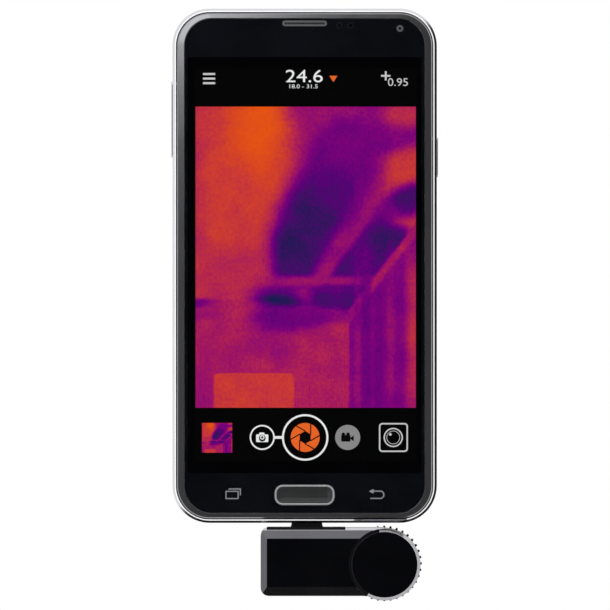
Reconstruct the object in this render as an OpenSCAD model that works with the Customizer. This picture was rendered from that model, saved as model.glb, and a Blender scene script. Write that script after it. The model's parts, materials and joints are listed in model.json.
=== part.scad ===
// Plug-in thermal imaging camera: a sensor head with a focus ring, plugged into the handset
// that powers it and shows its picture.
// Lengths are in millimetres. Every module draws in a drawing frame: x to the right, y up and
// z towards the user, with z = 0 on the handset's back face. upright() then stands the part up,
// so that +Z is up, the screen faces -Y and the lens looks along +Y.

/* [Handset] */
// Width of the handset
handset_w = 73; // [72.6:0.1:75]
// Height of the handset
handset_h = 142; // [141:0.5:146]
// Thickness of the handset
handset_t = 8.1; // [8.1:0.1:8.6]
// Corner radius of the handset's outline
handset_r = 10.3; // [10:0.1:11]

/* [Screen] */
// Width of the cover glass
glass_w = 66.3; // [66:0.1:66.4]
// Height of the cover glass
glass_h = 136.5; // [136:0.1:136.6]
// Width of the display panel
panel_w = 65.6; // [65:0.1:65.8]
// Length of the home key
home_w = 16.5; // [15:0.1:17]

/* [Sensor head] */
// Left side of the sensor head, from the handset's middle
head_left = -12.15; // [-12.4:0.05:-12]
// Optical axis, from the handset's middle
lens_x = 22.05; // [21.9:0.05:22.4]
// Optical axis, below the handset's middle
lens_y = -82.45; // [-82.6:0.05:-82.4]
// Radius of the round end of the sensor head
drum_r = 9.9; // [9.8:0.05:10]
// Number of grip ribs on the focus ring
rib_count = 36; // [24:1:40]
// Radius over the tips of the grip ribs
rib_tip_r = 10.45; // [10.4:0.05:10.6]

/* [Plug] */
// Middle of the plug, from the handset's middle
plug_x = 0.6; // [0.4:0.1:0.8]
// Width of the plug's metal shell
plug_w = 6.85; // [6.8:0.01:6.9]
// Height of the plug's metal shell
plug_t = 1.8; // [1.75:0.01:1.82]

/* [Hidden] */
$fn = 48;
E = 0.5;                        // overrun of a cut past the face it opens

// Handset, depths measured from the back face
cover_t = 1;                    // back cover's wall
cover_fillet = 2.6;             // back cover's rounded edge
split_z = 2.9;                  // where the back cover meets the band
band_z0 = 2.95;
band_z1 = handset_t - 0.6;
band_t = 1.15;                  // band's wall
inner_u = 1.25;                 // inset of what lies inside the band
wall_u = 3.75;                  // inset of the chassis wall's inner side
plate_z0 = 5;                   // chassis plate
plate_z1 = 5.6;
bezel_z0 = 5.65;
deck_z1 = 7.2;                  // top of the chassis decks above and below the display
glass_z0 = 7.25;
glass_z1 = handset_t - 0.1;
glass_r = 7;
fit_gap = 0.1;                  // gap between parts that are laid in each other
panel_y0 = -59;
panel_y1 = 58.9;
cell_z0 = 1.1;                  // space between the back cover and the chassis plate
cell_z1 = 4.9;

// Keys
home_h = 5.57;
home_r = 2.3;
home_y = -63.25;
home_trim = 0.5;                // width of the bright trim round the home key
key_z = 4.4;                    // middle of the side keys
key_t = 1.9;
key_proud = 0.35;
key_slot_gap = 0.12;
power_y = 30;
power_l = 11;
volume_y = 40.4;
volume_l = 21;

// Ear slot, cameras and sensors
ear_w = 12.2;
ear_h = 1.45;
ear_y = 66.88;
ear_holes = 15;
ear_pitch = 0.75;
front_cam = [26.3, 65.5];
sensor_xs = [9.6, 12.7];
sensor_y = 66.3;
rear_cam = [0, 49.5];
flash_at = [0, 40.5];
jack_x = -23.2;
jack_z = 3.4;
jack_bore_r = 1.8;
jack_depth = 13.9;
motor_y = 60.5;
motor_z = 3;
speaker_at = [22, -60];
chassis_screw_ys = [-56, -20, 14, 57];

// Sensor head, heights and depths
plug_z = 3.6;                   // middle of the plug, and where the two head shells meet
head_top = -72.3;
head_bottom = -91.15;
head_back_z = 8.6;              // face towards the user
head_front_z = -2.6;            // face towards the scene
head_wall = 1.1;
head_corner = 2.2;
bevel_z = 1.5;                  // depth of the bevels round the face towards the user
bevel_top = 2.15;
bevel_left = 1.7;
bevel_bottom = 2.5;
front_bevel = 1;
top_lip = 0.7;                  // narrow outer bevel along the top edge
front_lip = 0.3;
gasket_t = 0.1;
cap_h = 1.2;
cap_top_r = 9.05;
cap_spigot_r = 6;
drum_bore_r = 8.8;
pad_x = [-10.4, 11.2];          // top plate, from left to right
pad_y = [-72.9, -72.15];
pad_z = [-0.8, 7];
boss_w = 8.5;
boss_t = 4.6;
boss_top = -71.05;
boss_flare = 0.22;
boss_flange = 1;
head_floor = -1.4;              // inner side of the shell that carries the lens
head_roof = 7.5;                // inner side of the shell towards the user
shell_screws = [[-9.3, -88.4], [-9.3, -75.5], [7.2, -88.4], [8.9, -75.6]];
screw_r = 0.8;

// Lens
barrel_r = 7.6;
barrel_bore = 6.65;
barrel_front = -9.4;
ring_bore = 7.66;
ring_z = [-10.2, -3];
ring_valley_r = 9.85;
rib_r = 0.3;
washer_z = [-2.95, -2.6];
cell_r = 6.55;
cell_front = -8.9;
cell_back = -3.6;
front_lens_r = 5.4;
rear_lens_r = 3.6;
pin_z = -6.2;

// Shutter
shutter_pivot = [lens_x - 8, lens_y - 3.5];
blade_r = 3.4;
blade_reach = 8.73;             // pivot to the middle of the blade
blade_parked = 68.6;            // direction of the blade from its pivot when the shutter is open
blade_z = [0.2, 0.4];

// ---- helpers ----

// Stands a part up from the drawing frame.
module upright() rotate([90, 0, 0]) children();

// Rounded rectangle about the origin.
module rounded(w, h, r) {
    square([w - 2 * r, h], center = true);
    square([w, h - 2 * r], center = true);
    for (x = [-1, 1], y = [-1, 1])
        translate([x * (w / 2 - r), y * (h / 2 - r)]) circle(r);
}

// Flat rounded plate between two depths.
module slab(w, h, r, z0, z1) translate([0, 0, z0]) linear_extrude(z1 - z0) rounded(w, h, r);

// Plate of the handset's outline, set in by u.
module outline_slab(u, z0, z1) slab(handset_w - 2 * u, handset_h - 2 * u, handset_r - u, z0, z1);

// Rounded plate standing across x, for the side keys: l along y, w along z.
module side_slab(l, w, r, x0, x1)
    translate([x0, 0, 0]) rotate([90, 0, 90]) linear_extrude(x1 - x0) rounded(l, w, r);

// Box between two corners.
module block(x, y, z) translate([x[0], y[0], z[0]]) cube([x[1] - x[0], y[1] - y[0], z[1] - z[0]]);

// Disc between two depths.
module post(r, z0, z1) translate([0, 0, z0]) cylinder(r = r, h = z1 - z0);

// Ring between two depths.
module ring(r_out, r_in, z0, z1) difference() {
    post(r_out, z0, z1);
    post(r_in, z0 - E, z1 + E);
}

// Round bar along x.
module bar_x(r, x0, x1) translate([x0, 0, 0]) rotate([0, 90, 0]) cylinder(r = r, h = x1 - x0);

// Round bar along y.
module bar_y(r, y0, y1) translate([0, y0, 0]) rotate([-90, 0, 0]) cylinder(r = r, h = y1 - y0);

// Sweeps a profile round a rounded rectangle. The profile's x counts from the corner's axis.
module rim(w, h, r)
    for (i = [0:3]) rotate(90 * i) {
        side = (i % 2 == 0 ? w : h) / 2 - r;
        run = (i % 2 == 0 ? h : w) / 2 - r;
        translate([side, run, 0]) {
            rotate([90, 0, 0]) linear_extrude(2 * run) children();
            rotate_extrude(angle = 90) children();
        }
    }

// Rounded plate whose lower edge is a fillet f.
module dish(w, h, r, f, z0, z1) {
    rim(w, h, r) intersection() {
        translate([0, z0]) square([r, z1 - z0]);
        union() {
            translate([0, z0]) square([r - f, z1 - z0]);
            translate([0, z0 + f]) square([r, z1 - z0]);
            translate([r - f, z0 + f]) circle(f);
        }
    }
    block([r - w / 2, w / 2 - r], [r - h / 2, h / 2 - r], [z0, z1]);
}

// Places what follows on the optical axis.
module on_axis() translate([lens_x, lens_y, 0]) children();

// ---- handset, casing ----

// Space that the audio jack takes, for cutting it out of the casing.
module jack_space(gap) {
    block([jack_x - 3.1 - gap, jack_x + 3.1 + gap], [56 - gap, 68.3 + gap], [cell_z0, 5.7]);
    translate([jack_x, 0, jack_z]) bar_y(2.2 + gap, 66, handset_h / 2 + E);
}

// Space that the charging socket takes.
module port_space(gap)
    block([plug_x - 3.8 - gap, plug_x + 3.8 + gap], [-handset_h / 2 - E, -65 + gap],
        [plug_z - 1.3 - gap, plug_z + 1.3 + gap]);

module back_cover() color("#26262a") difference() {
    dish(handset_w, handset_h, handset_r, cover_fillet, 0, split_z);
    dish(handset_w - 2 * cover_t, handset_h - 2 * cover_t, handset_r - cover_t,
        cover_fillet - cover_t, cover_t, split_z + E);
    translate(rear_cam) post(5.95, -E, split_z);
    translate(flash_at) post(1.6, -E, split_z);
    for (i = [-1.5:1:1.5])
        translate([speaker_at[0], speaker_at[1] + 1.8 * i, 0]) slab(7, 0.8, 0.39, -E, split_z);
    jack_space(fit_gap);
    port_space(0.2);
}

module side_band() color("#d8dade") difference() {
    rim(handset_w, handset_h, handset_r) translate([handset_r - band_t, band_z0]) {
        square([band_t, band_z1 - band_z0 - 1]);
        square([band_t - 1, band_z1 - band_z0]);
        translate([band_t - 1, band_z1 - band_z0 - 1]) intersection() {
            circle(1);
            square([1, 1]);
        }
    }
    translate([0, power_y, key_z])
        side_slab(power_l + 2 * key_slot_gap, key_t + 2 * key_slot_gap, 1.06, 30, 40);
    translate([0, volume_y, key_z])
        side_slab(volume_l + 2 * key_slot_gap, key_t + 2 * key_slot_gap, 1.06, -40, -30);
    jack_space(fit_gap);
    port_space(0.2);
    // microphone and infrared openings
    translate([9, 0, 4.6]) bar_y(0.5, -80, -60);
    translate([6, 0, 4.6]) bar_y(0.7, 60, 80);
}

// Stretch of the chassis wall taken out for a side key; side is 1 on the right and -1 on the left.
module key_pocket(side, y, l)
    scale([side, 1, 1]) block([33.5, 36], [y - l / 2 - 1.1, y + l / 2 + 1.1], [2.5, plate_z1 + E]);

module chassis_decks() intersection() {
    slab(glass_w - 0.2, glass_h - 0.2, glass_r, plate_z1, deck_z1);
    union() {
        block([-40, 40], [panel_y1 + 0.3, 80], [plate_z1, deck_z1]);
        block([-40, 40], [-80, panel_y0 - 0.3], [plate_z1, deck_z1]);
    }
}

module chassis() color("#8f9296") difference() {
    union() {
        difference() {
            outline_slab(inner_u, band_z0, plate_z1);
            outline_slab(wall_u, band_z0 - E, plate_z0);
        }
        chassis_decks();
    }
    key_pocket(1, power_y, power_l);
    mirror([1, 0, 0]) key_pocket(1, volume_y, volume_l);
    jack_space(0.15);
    port_space(0.15);
    translate([0, home_y, 0]) slab(17.8, 6.8, 2.6, plate_z1, deck_z1 + E);
    block([-5.5, 5.5], [ear_y - 0.55, ear_y + 0.55], [2, deck_z1 + E]);
    translate(front_cam) block([-2.9, 2.9], [-2.9, 2.9], [2, deck_z1 + E]);
    block([sensor_xs[0] - 1.4, sensor_xs[1] + 1.4], [sensor_y - 1.3, sensor_y + 1.3],
        [plate_z1, deck_z1 + E]);
    for (x = [-1, 1], y = chassis_screw_ys)
        translate([x * (handset_w / 2 - 2.5), y, 0]) post(0.65, band_z0 - E, cell_z1);
}

module front_bezel() color("#4a4b50") difference() {
    w = handset_w - 2 * inner_u;
    h = handset_h - 2 * inner_u;
    r = handset_r - inner_u;
    union() {
        rim(w, h, r) polygon([[0, bezel_z0], [r, bezel_z0], [r, handset_t - 0.4],
            [r - 0.5, handset_t], [0, handset_t]]);
        block([r - w / 2, w / 2 - r], [r - h / 2, h / 2 - r], [bezel_z0, handset_t]);
    }
    slab(glass_w + 0.2, glass_h + 0.2, glass_r + 0.1, bezel_z0 - E, handset_t + E);
}

module cover_glass() color("#0c0d10") difference() {
    slab(glass_w, glass_h, glass_r, glass_z0, glass_z1);
    translate([0, home_y, 0])
        slab(home_w + 0.25, home_h + 0.25, home_r + 0.12, glass_z0 - E, glass_z1 + E);
    translate([0, ear_y, 0]) slab(ear_w + 0.1, ear_h + 0.1, 0.77, glass_z0 - E, glass_z1 + E);
}

module display_panel() color("#7a1d6e")
    block([-panel_w / 2, panel_w / 2], [panel_y0, panel_y1], [5.7, deck_z1]);

// ---- handset, keys ----

module home_key() color("#3c3e40") translate([0, home_y, 0]) {
    slab(home_w - 2 * home_trim, home_h - 2 * home_trim, home_r - home_trim, 6.2, 8.05);
    slab(home_w + 0.8, home_h + 0.75, home_r + 0.1, 6.2, 7);
}

module home_key_trim() color("#c8cacc") translate([0, home_y, 0]) difference() {
    slab(home_w, home_h, home_r, 7, handset_t + 0.1);
    slab(home_w - 2 * home_trim, home_h - 2 * home_trim, home_r - home_trim, 6, 9);
}

module home_switch() color("#c9a227") translate([0, home_y, 0]) {
    slab(12, 3.2, 0.5, plate_z1, 5.7);
    translate([0, 0, 5.7]) cylinder(r1 = 1.5, r2 = 0.9, h = 0.16);
}

module power_key() color("#17181a") translate([0, power_y, key_z]) {
    side_slab(power_l, key_t, 0.94, 34.95, handset_w / 2 + key_proud);
    side_slab(power_l + 1.2, key_t + 0.4, 1.14, 34.95, 35.3);
}

// Tact switch under a side key, on the right side: base, then plunger.
module side_switch(tip) {
    block([33.55, 33.75], [-2.4, 2.4], [-1, 1]);
    bar_x(0.8, 33.75, tip);
}

module power_switch() color("#b5b7ba") translate([0, power_y, key_z]) side_switch(34.6);

module volume_rocker() color("#17181a") mirror([1, 0, 0]) translate([0, volume_y, key_z]) {
    side_slab(volume_l, key_t, 0.94, 34.55, handset_w / 2 + key_proud);
    side_slab(volume_l + 1.2, key_t + 0.4, 1.14, 34.55, 34.95);
}

module volume_switches() color("#b5b7ba") mirror([1, 0, 0])
    for (y = [-6.5, 6.5]) translate([0, volume_y + y, key_z]) side_switch(34.2);

// ---- handset, inside ----

module earpiece_grille() color("#8c8e90") translate([0, ear_y, 0]) difference() {
    slab(ear_w, ear_h, 0.72, deck_z1, 7.9);
    for (i = [0:ear_holes - 1])
        translate([(i - (ear_holes - 1) / 2) * ear_pitch, 0, 0]) post(0.26, deck_z1 - E, 8.5);
}

module earpiece_speaker() color("#55585c") block([-7, 7], [60.8, 67.1], [2.2, cell_z1]);

module front_camera() color("#101114") translate(front_cam) {
    block([-2.7, 2.7], [-2.7, 2.7], [2.7, 5.6]);
    ring(2.4, 1, 5.6, 7.15);
    post(0.95, 5.6, 6.7);
}

module front_sensors() color("#1b1520") for (x = sensor_xs)
    block([x - 1.1, x + 1.1], [sensor_y - 1, sensor_y + 1], [5.65, 7.1]);

module battery() color("#2f3336") block([-28, 28], [-46, 27], [cell_z0, cell_z1]);

module main_board() color("#1f5a3a") difference() {
    block([-31.5, 31.5], [30, 55], [3.3, 4.1]);
    block([-6.2, 6.2], [43, 60], [3, 5]);
}

module board_shields() color("#b9bcc0") for (x = [[-30, -9], [9, 30]]) difference() {
    block(x, [31.5, 53.5], [1.5, 3.25]);
    block([x[0] + 0.2, x[1] - 0.2], [31.7, 53.3], [1.7, 3.25 + E]);
}

module board_chips() color("#222428")
    for (c = [[-22, 45, 12, 12], [-21, 34, 10, 5], [18, 46, 9, 11], [20, 34.5, 12, 5]])
        block([c[0] - c[2] / 2, c[0] + c[2] / 2], [c[1] - c[3] / 2, c[1] + c[3] / 2], [4.1, 4.85]);

module charge_board() color("#1f5a3a") block([-14, 14], [-66.8, -54], [1.4, 2.2]);

module usb_receptacle() color("#c3c5c8") difference() {
    block([plug_x - 3.8, plug_x + 3.8], [-70.7, -65], [plug_z - 1.25, plug_z + 1.25]);
    block([plug_x - 3.5, plug_x + 3.5], [-71, -65.3], [plug_z - 0.97, plug_z + 0.97]);
}

module receptacle_tongue() color("#1a1a1c")
    block([plug_x - 2.8, plug_x + 2.8], [-70, -65.35], [plug_z + 0.03, plug_z + 0.58]);

module loudspeaker() color("#2b2d30") difference() {
    translate(speaker_at) block([-6.5, 6.5], [-5.4, 6], [cell_z0, cell_z1]);
    translate([speaker_at[0], speaker_at[1], 0]) slab(9, 7, 2, cell_z0 - E, cell_z0 + 0.8);
}

module rear_camera() color("#141518") translate(rear_cam) {
    block([-5.5, 5.5], [-5.3, 5.3], [1.5, cell_z1]);
    ring(4.2, 2.4, 0.95, 1.5);
}

module rear_camera_window() color("#0a0a12") translate(rear_cam) post(4.7, 0.05, 0.8);

module rear_camera_trim() color("#9a9ca0") translate(rear_cam) ring(5.9, 4.75, 0, 1.2);

module camera_flash() color("#e8e4c8") translate(flash_at) {
    post(1.55, 0.05, 1.1);
    block([-1.2, 1.2], [-1.2, 1.2], [1.1, 2.6]);
}

module vibration_motor() color("#a9abae") translate([0, motor_y, motor_z]) difference() {
    bar_x(1.88, 9, 17);
    bar_x(0.45, 14.9, 17 + E);
}

module vibration_weight() color("#77797c") translate([0, motor_y, motor_z]) {
    bar_x(0.4, 15, 20.4);
    intersection() {
        bar_x(1.8, 17.4, 20.4);
        block([17, 21], [-2, 0], [-2, 2]);
    }
}

module audio_jack() color("#1c1c1f") difference() {
    union() {
        block([jack_x - 3.1, jack_x + 3.1], [56, 68.3], [1.15, 5.6]);
        translate([jack_x, 0, jack_z]) bar_y(2.2, 68.3, handset_h / 2 - 0.1);
    }
    translate([jack_x, 0, jack_z])
        bar_y(jack_bore_r, handset_h / 2 - 0.1 - jack_depth, handset_h / 2);
}

module chassis_screws() color("#8a8c8f") for (x = [-1, 1], y = chassis_screw_ys)
    translate([x * (handset_w / 2 - 2.5), y, 0]) {
        post(0.6, band_z0 - 0.1, 4.8);
        difference() {
            post(1.05, 1.95, band_z0 - 0.05);
            // cross recess
            block([-0.7, 0.7], [-0.15, 0.15], [1.5, 2.3]);
            block([-0.15, 0.15], [-0.7, 0.7], [1.5, 2.3]);
        }
    }

// ---- sensor head, casing ----

// Outline of the head, set in by u: a block that runs into a round end.
module head_outline(u) {
    translate([head_left + u, head_bottom + u]) {
        r = head_corner - u / 2;
        w = lens_x - head_left - u;
        h = head_top - head_bottom - 2 * u;
        translate([r, 0]) square([w - r, h]);
        translate([0, r]) square([w, h - 2 * r]);
        for (y = [r, h - r]) translate([r, y]) circle(r);
    }
}

// Round end of the head.
module drum(r, z0, z1) on_axis() post(r, z0, z1);

// Block with bevels along its top, bottom and left edges on the face at z1.
// b holds the widths of the bevels at the top, left and bottom. A lip runs outside the top one.
module bevelled_block(z0, z1, depth, b, lip) intersection() {
    translate([0, 0, z0]) linear_extrude(z1 - z0) head_outline(0);
    // across y and z, run along x
    translate([head_left - 1, 0, 0]) rotate([90, 0, 90]) linear_extrude(60) polygon([
        [head_bottom, z0], [head_top, z0], [head_top, z1 - depth - lip],
        [head_top - lip, z1 - depth], [head_top - lip - b[0], z1],
        [head_bottom + b[2], z1], [head_bottom, z1 - depth]]);
    // across x and z, run along y
    translate([0, head_top + 1, 0]) rotate([90, 0, 0]) linear_extrude(30) polygon([
        [head_left, z0], [40, z0], [40, z1], [head_left + b[1], z1], [head_left, z1 - depth]]);
}

// Turns a part over about the plane z = 0.
module flip() mirror([0, 0, 1]) children();

module head_cavity(z0, z1) {
    translate([0, 0, z0]) linear_extrude(z1 - z0) head_outline(head_wall);
    drum(drum_bore_r, z0, z1);
}

// Openings at the head's top: the seat of the top plate and the way through for the plug.
module head_top_cuts() {
    block([pad_x[0] - 0.05, pad_x[1] + 0.05], [pad_y[0], -70], [pad_z[0] - 0.05, pad_z[1] + 0.05]);
    block([plug_x - boss_w / 2 - 0.1, plug_x + boss_w / 2 + 0.1], [-75, -70],
        [plug_z - boss_t / 2 - 0.1, plug_z + boss_t / 2 + 0.1]);
}

module screw_posts(r, z0, z1) for (p = shell_screws) translate(p) post(r, z0, z1);

module rear_shell() color("#121216") difference() {
    union() {
        difference() {
            union() {
                bevelled_block(plug_z, head_back_z, bevel_z,
                    [bevel_top, bevel_left, bevel_bottom], top_lip);
                drum(drum_r, plug_z, head_back_z);
            }
            head_cavity(plug_z - E, head_roof);
        }
        screw_posts(1.6, plug_z, head_roof);
    }
    screw_posts(screw_r + 0.02, plug_z - E, 6.6);
    drum(cap_spigot_r + 0.05, head_roof - E, head_back_z + E);
    head_top_cuts();
}

module front_shell() color("#121216") difference() {
    union() {
        difference() {
            union() {
                flip() bevelled_block(gasket_t - plug_z, -head_front_z, front_bevel,
                    [front_bevel, front_bevel, front_bevel], front_lip);
                drum(drum_r, head_front_z, plug_z - gasket_t);
            }
            head_cavity(head_floor, plug_z + E);
        }
        screw_posts(1.6, head_floor, plug_z - gasket_t);
    }
    screw_posts(screw_r + 0.05, head_front_z - E, plug_z + E);
    screw_posts(1.5, head_front_z - E, -1.65);
    drum(barrel_r + 0.05, head_front_z - E, head_floor + E);
    head_top_cuts();
}

module shell_gasket() color("#3a3a3e") difference() {
    union() {
        translate([0, 0, plug_z - gasket_t]) linear_extrude(gasket_t) head_outline(0.15);
        drum(drum_r - 0.15, plug_z - gasket_t, plug_z);
    }
    head_cavity(plug_z - 1, plug_z + 1);
    head_top_cuts();
}

module rear_cap() color("#0c0c10") on_axis() {
    translate([0, 0, head_back_z]) cylinder(r1 = drum_r, r2 = cap_top_r, h = cap_h);
    post(cap_spigot_r, head_roof + 0.4, head_back_z);
}

module top_plate() color("#060608") difference() {
    block(pad_x, pad_y, pad_z);
    block([plug_x - boss_w / 2 - 0.05, plug_x + boss_w / 2 + 0.05], [-80, -70],
        [plug_z - boss_t / 2 - 0.05, plug_z + boss_t / 2 + 0.05]);
}

module plug_boss() color("#08080a") difference() {
    union() {
        block([plug_x - boss_w / 2, plug_x + boss_w / 2], [-74, boss_top],
            [plug_z - boss_t / 2, plug_z + boss_t / 2]);
        // flare where the boss meets the top plate
        translate([plug_x, 0, plug_z - boss_t / 2]) linear_extrude(boss_t) polygon([
            [-boss_w / 2 - boss_flare, pad_y[1] + 0.05], [boss_w / 2 + boss_flare, pad_y[1] + 0.05],
            [boss_w / 2, pad_y[1] + 0.8], [-boss_w / 2, pad_y[1] + 0.8]]);
        block([plug_x - boss_w / 2 - boss_flange, plug_x + boss_w / 2 + boss_flange],
            [-74.7, head_top - head_wall - 0.55], [plug_z - 2.8, plug_z + 2.8]);
    }
    block([plug_x - plug_w / 2 - 0.02, plug_x + plug_w / 2 + 0.02], [-80, -70],
        [plug_z - plug_t / 2 - 0.02, plug_z + plug_t / 2 + 0.02]);
}

module plug_shell() color("#cfd1d4") difference() {
    block([plug_x - plug_w / 2, plug_x + plug_w / 2], [-76, -65.9],
        [plug_z - plug_t / 2, plug_z + plug_t / 2]);
    block([plug_x - plug_w / 2 + 0.25, plug_x + plug_w / 2 - 0.25], [-77, -65],
        [plug_z - plug_t / 2 + 0.25, plug_z + plug_t / 2 - 0.25]);
}

module plug_insert() color("#101012") {
    block([plug_x - 3.1, plug_x + 3.1], [-76, -71.4], [plug_z - 0.62, plug_z + 0.62]);
    block([plug_x - 3.1, plug_x + 3.1], [-71.4, -66.3], [plug_z - 0.62, plug_z - 0.22]);
}

module plug_contacts() color("#d4af37") for (i = [-2:2])
    translate([plug_x + 0.65 * i, 0, plug_z]) block([-0.17, 0.17], [-71.4, -66.5], [-0.22, -0.08]);

// ---- sensor head, lens ----

module focus_ring() color("#16161a") on_axis() difference() {
    union() {
        post(ring_valley_r, ring_z[0], ring_z[1]);
        for (i = [0:rib_count - 1]) rotate(360 * i / rib_count) {
            translate([rib_tip_r - rib_r, 0, 0]) post(rib_r, ring_z[0] + 0.5, ring_z[1] - 0.3);
            block([ring_valley_r - 0.3, rib_tip_r - rib_r], [-rib_r, rib_r],
                [ring_z[0] + 0.5, ring_z[1] - 0.3]);
        }
    }
    post(ring_bore, ring_z[0] - E, ring_z[1] + E);
    post(8.4, ring_z[0] - E, -8.8);
    // groove that the focus pin's tip runs in
    post(8.15, pin_z - 1.4, pin_z + 1.4);
    // flared front
    translate([0, 0, ring_z[0] - 0.01]) cylinder(r1 = 9.3, r2 = 8.4, h = 0.7);
}

module drag_washer() color("#2a2a2e") on_axis() ring(9.6, 7.75, washer_z[0], washer_z[1]);

module lens_barrel() color("#3b3d42") on_axis() difference() {
    union() {
        post(7.2, barrel_front, 0);
        post(barrel_r, -8.85, head_floor);
        post(8.6, head_floor, -0.5);
    }
    post(barrel_bore, barrel_front - E, 0 + E);
    post(9, -0.5, E);
    // slot that keeps the lens cell from turning
    block([-0.5, 0.5], [5, 9], [pin_z - 1.35, pin_z + 1.35]);
}

module ring_retainer() color("#1c1c20") on_axis() ring(8.3, 7.22, barrel_front, -8.9);

module lens_cell() color("#202226") on_axis() difference() {
    post(cell_r, cell_front, cell_back);
    post(front_lens_r + 0.1, cell_front - E, -6);
    post(rear_lens_r + 0.1, cell_front - E, cell_back + E);
    rotate([-90, 0, 0]) translate([0, -pin_z, 0]) cylinder(r = 0.47, h = 8);
}

module focus_pin() color("#c2c4c7") on_axis()
    translate([0, 0, pin_z]) bar_y(0.45, 5.7, 8.05);

// Lens blank: convex towards the scene, flat towards the sensor.
module lens_blank(r, z0, z1, ball_r) intersection() {
    post(r, z0, z1);
    translate([0, 0, z0 + ball_r]) sphere(ball_r);
}

module front_lens() color("#54565e") on_axis() lens_blank(front_lens_r, -8.65, -6.05, 17);

module rear_lens() color("#54565e") on_axis() lens_blank(rear_lens_r, -5.6, -3.9, 12);

module lens_retainer() color("#0e0e10") on_axis() ring(5.45, 4.75, cell_front, -8);

// ---- sensor head, inside ----

module shutter_frame() color("#6d6f74") difference() {
    union() {
        on_axis() post(8.3, -0.45, 0.05);
        block([lens_x - 11, lens_x], [lens_y - 7.5, lens_y + 7.9], [-0.45, 0.05]);
    }
    on_axis() post(3.2, -1, 1);
    translate(shutter_pivot) post(0.55, -1, 1);
}

module shutter_blade() color("#b3b5b8") translate(shutter_pivot) {
    rotate(blade_parked) {
        block([0, blade_reach - blade_r + 0.4], [-0.8, 0.8], blade_z);
        translate([blade_reach, 0, 0]) post(blade_r, blade_z[0], blade_z[1]);
    }
    post(1.2, blade_z[0], blade_z[1]);
    post(0.5, -0.35, 2.6);
}

module shutter_actuator() color("#8c4a2f") translate(shutter_pivot) difference() {
    union() {
        post(2.2, 0.6, 3.4);
        rotate(220) block([1.6, 3.2], [-0.8, 0.8], [0.05, 3.4]);
    }
    post(0.55, 0, 2.8);
}

module sensor_board() color("#1f5a3a") {
    on_axis() post(8.5, 3.9, 4.7);
    block([6.5, lens_x], [lens_y - 4.2, lens_y + 4.2], [3.9, 4.7]);
}

module thermal_sensor() color("#b9a98c") on_axis() block([-4.5, 4.5], [-4.5, 4.5], [2, 3.9]);

module sensor_window() color("#3f4148") on_axis() block([-3.4, 3.4], [-3.4, 3.4], [1.5, 2]);

module heat_spreader() color("#a8abb0") on_axis() post(5, 4.75, head_roof + 0.35);

module logic_board() color("#1f5a3a") {
    difference() {
        block([-10.6, 10.8], [-89.6, -77.4], [2.2, 3]);
        screw_posts(1.9, 1, 4);
    }
    // processor, memory and the link to the sensor board
    block([-7.5, 0.5], [-87.5, -79.5], [3, 3.9]);
    block([2, 6], [-86.5, -81], [3, 3.9]);
    block([7, 10.4], [lens_y - 2.6, lens_y + 2.6], [3, 3.9]);
}

module shell_screws() color("#77797d") for (p = shell_screws) translate(p) {
    post(screw_r, -1.7, 6.4);
    difference() {
        post(1.4, -2.5, -1.7);
        post(0.6, -3, -2.1);
    }
}

// ---- nodes ----

upright() back_cover();
upright() side_band();
upright() chassis();
upright() front_bezel();
upright() cover_glass();
upright() display_panel();
upright() home_key();
upright() home_key_trim();
upright() home_switch();
upright() earpiece_grille();
upright() earpiece_speaker();
upright() front_camera();
upright() front_sensors();
upright() power_key();
upright() power_switch();
upright() volume_rocker();
upright() volume_switches();
upright() battery();
upright() main_board();
upright() board_shields();
upright() board_chips();
upright() charge_board();
upright() usb_receptacle();
upright() receptacle_tongue();
upright() loudspeaker();
upright() rear_camera();
upright() rear_camera_window();
upright() rear_camera_trim();
upright() camera_flash();
upright() vibration_motor();
upright() vibration_weight();
upright() audio_jack();
upright() chassis_screws();
upright() rear_shell();
upright() front_shell();
upright() shell_gasket();
upright() rear_cap();
upright() top_plate();
upright() plug_boss();
upright() plug_shell();
upright() plug_insert();
upright() plug_contacts();
upright() focus_ring();
upright() drag_washer();
upright() lens_barrel();
upright() ring_retainer();
upright() lens_cell();
upright() focus_pin();
upright() front_lens();
upright() rear_lens();
upright() lens_retainer();
upright() shutter_frame();
upright() shutter_blade();
upright() shutter_actuator();
upright() sensor_board();
upright() thermal_sensor();
upright() sensor_window();
upright() heat_spreader();
upright() logic_board();
upright() shell_screws();
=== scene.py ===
# %% [markdown]
# # A plug-in thermal camera on its handset
# The object has two halves. A flat black sensor head, with a lens and a ribbed focus ring on
# its far side, is plugged into the bottom of a handset. The handset powers it and shows the
# heat picture on its screen.
#
# The frame holds every part as a plain solid, in metres: the screen faces -Y, the lens looks
# along +Y and +Z is up. This script gives each visible part its finished shape and finish.

# %% Load the frame
import json
import math

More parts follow.
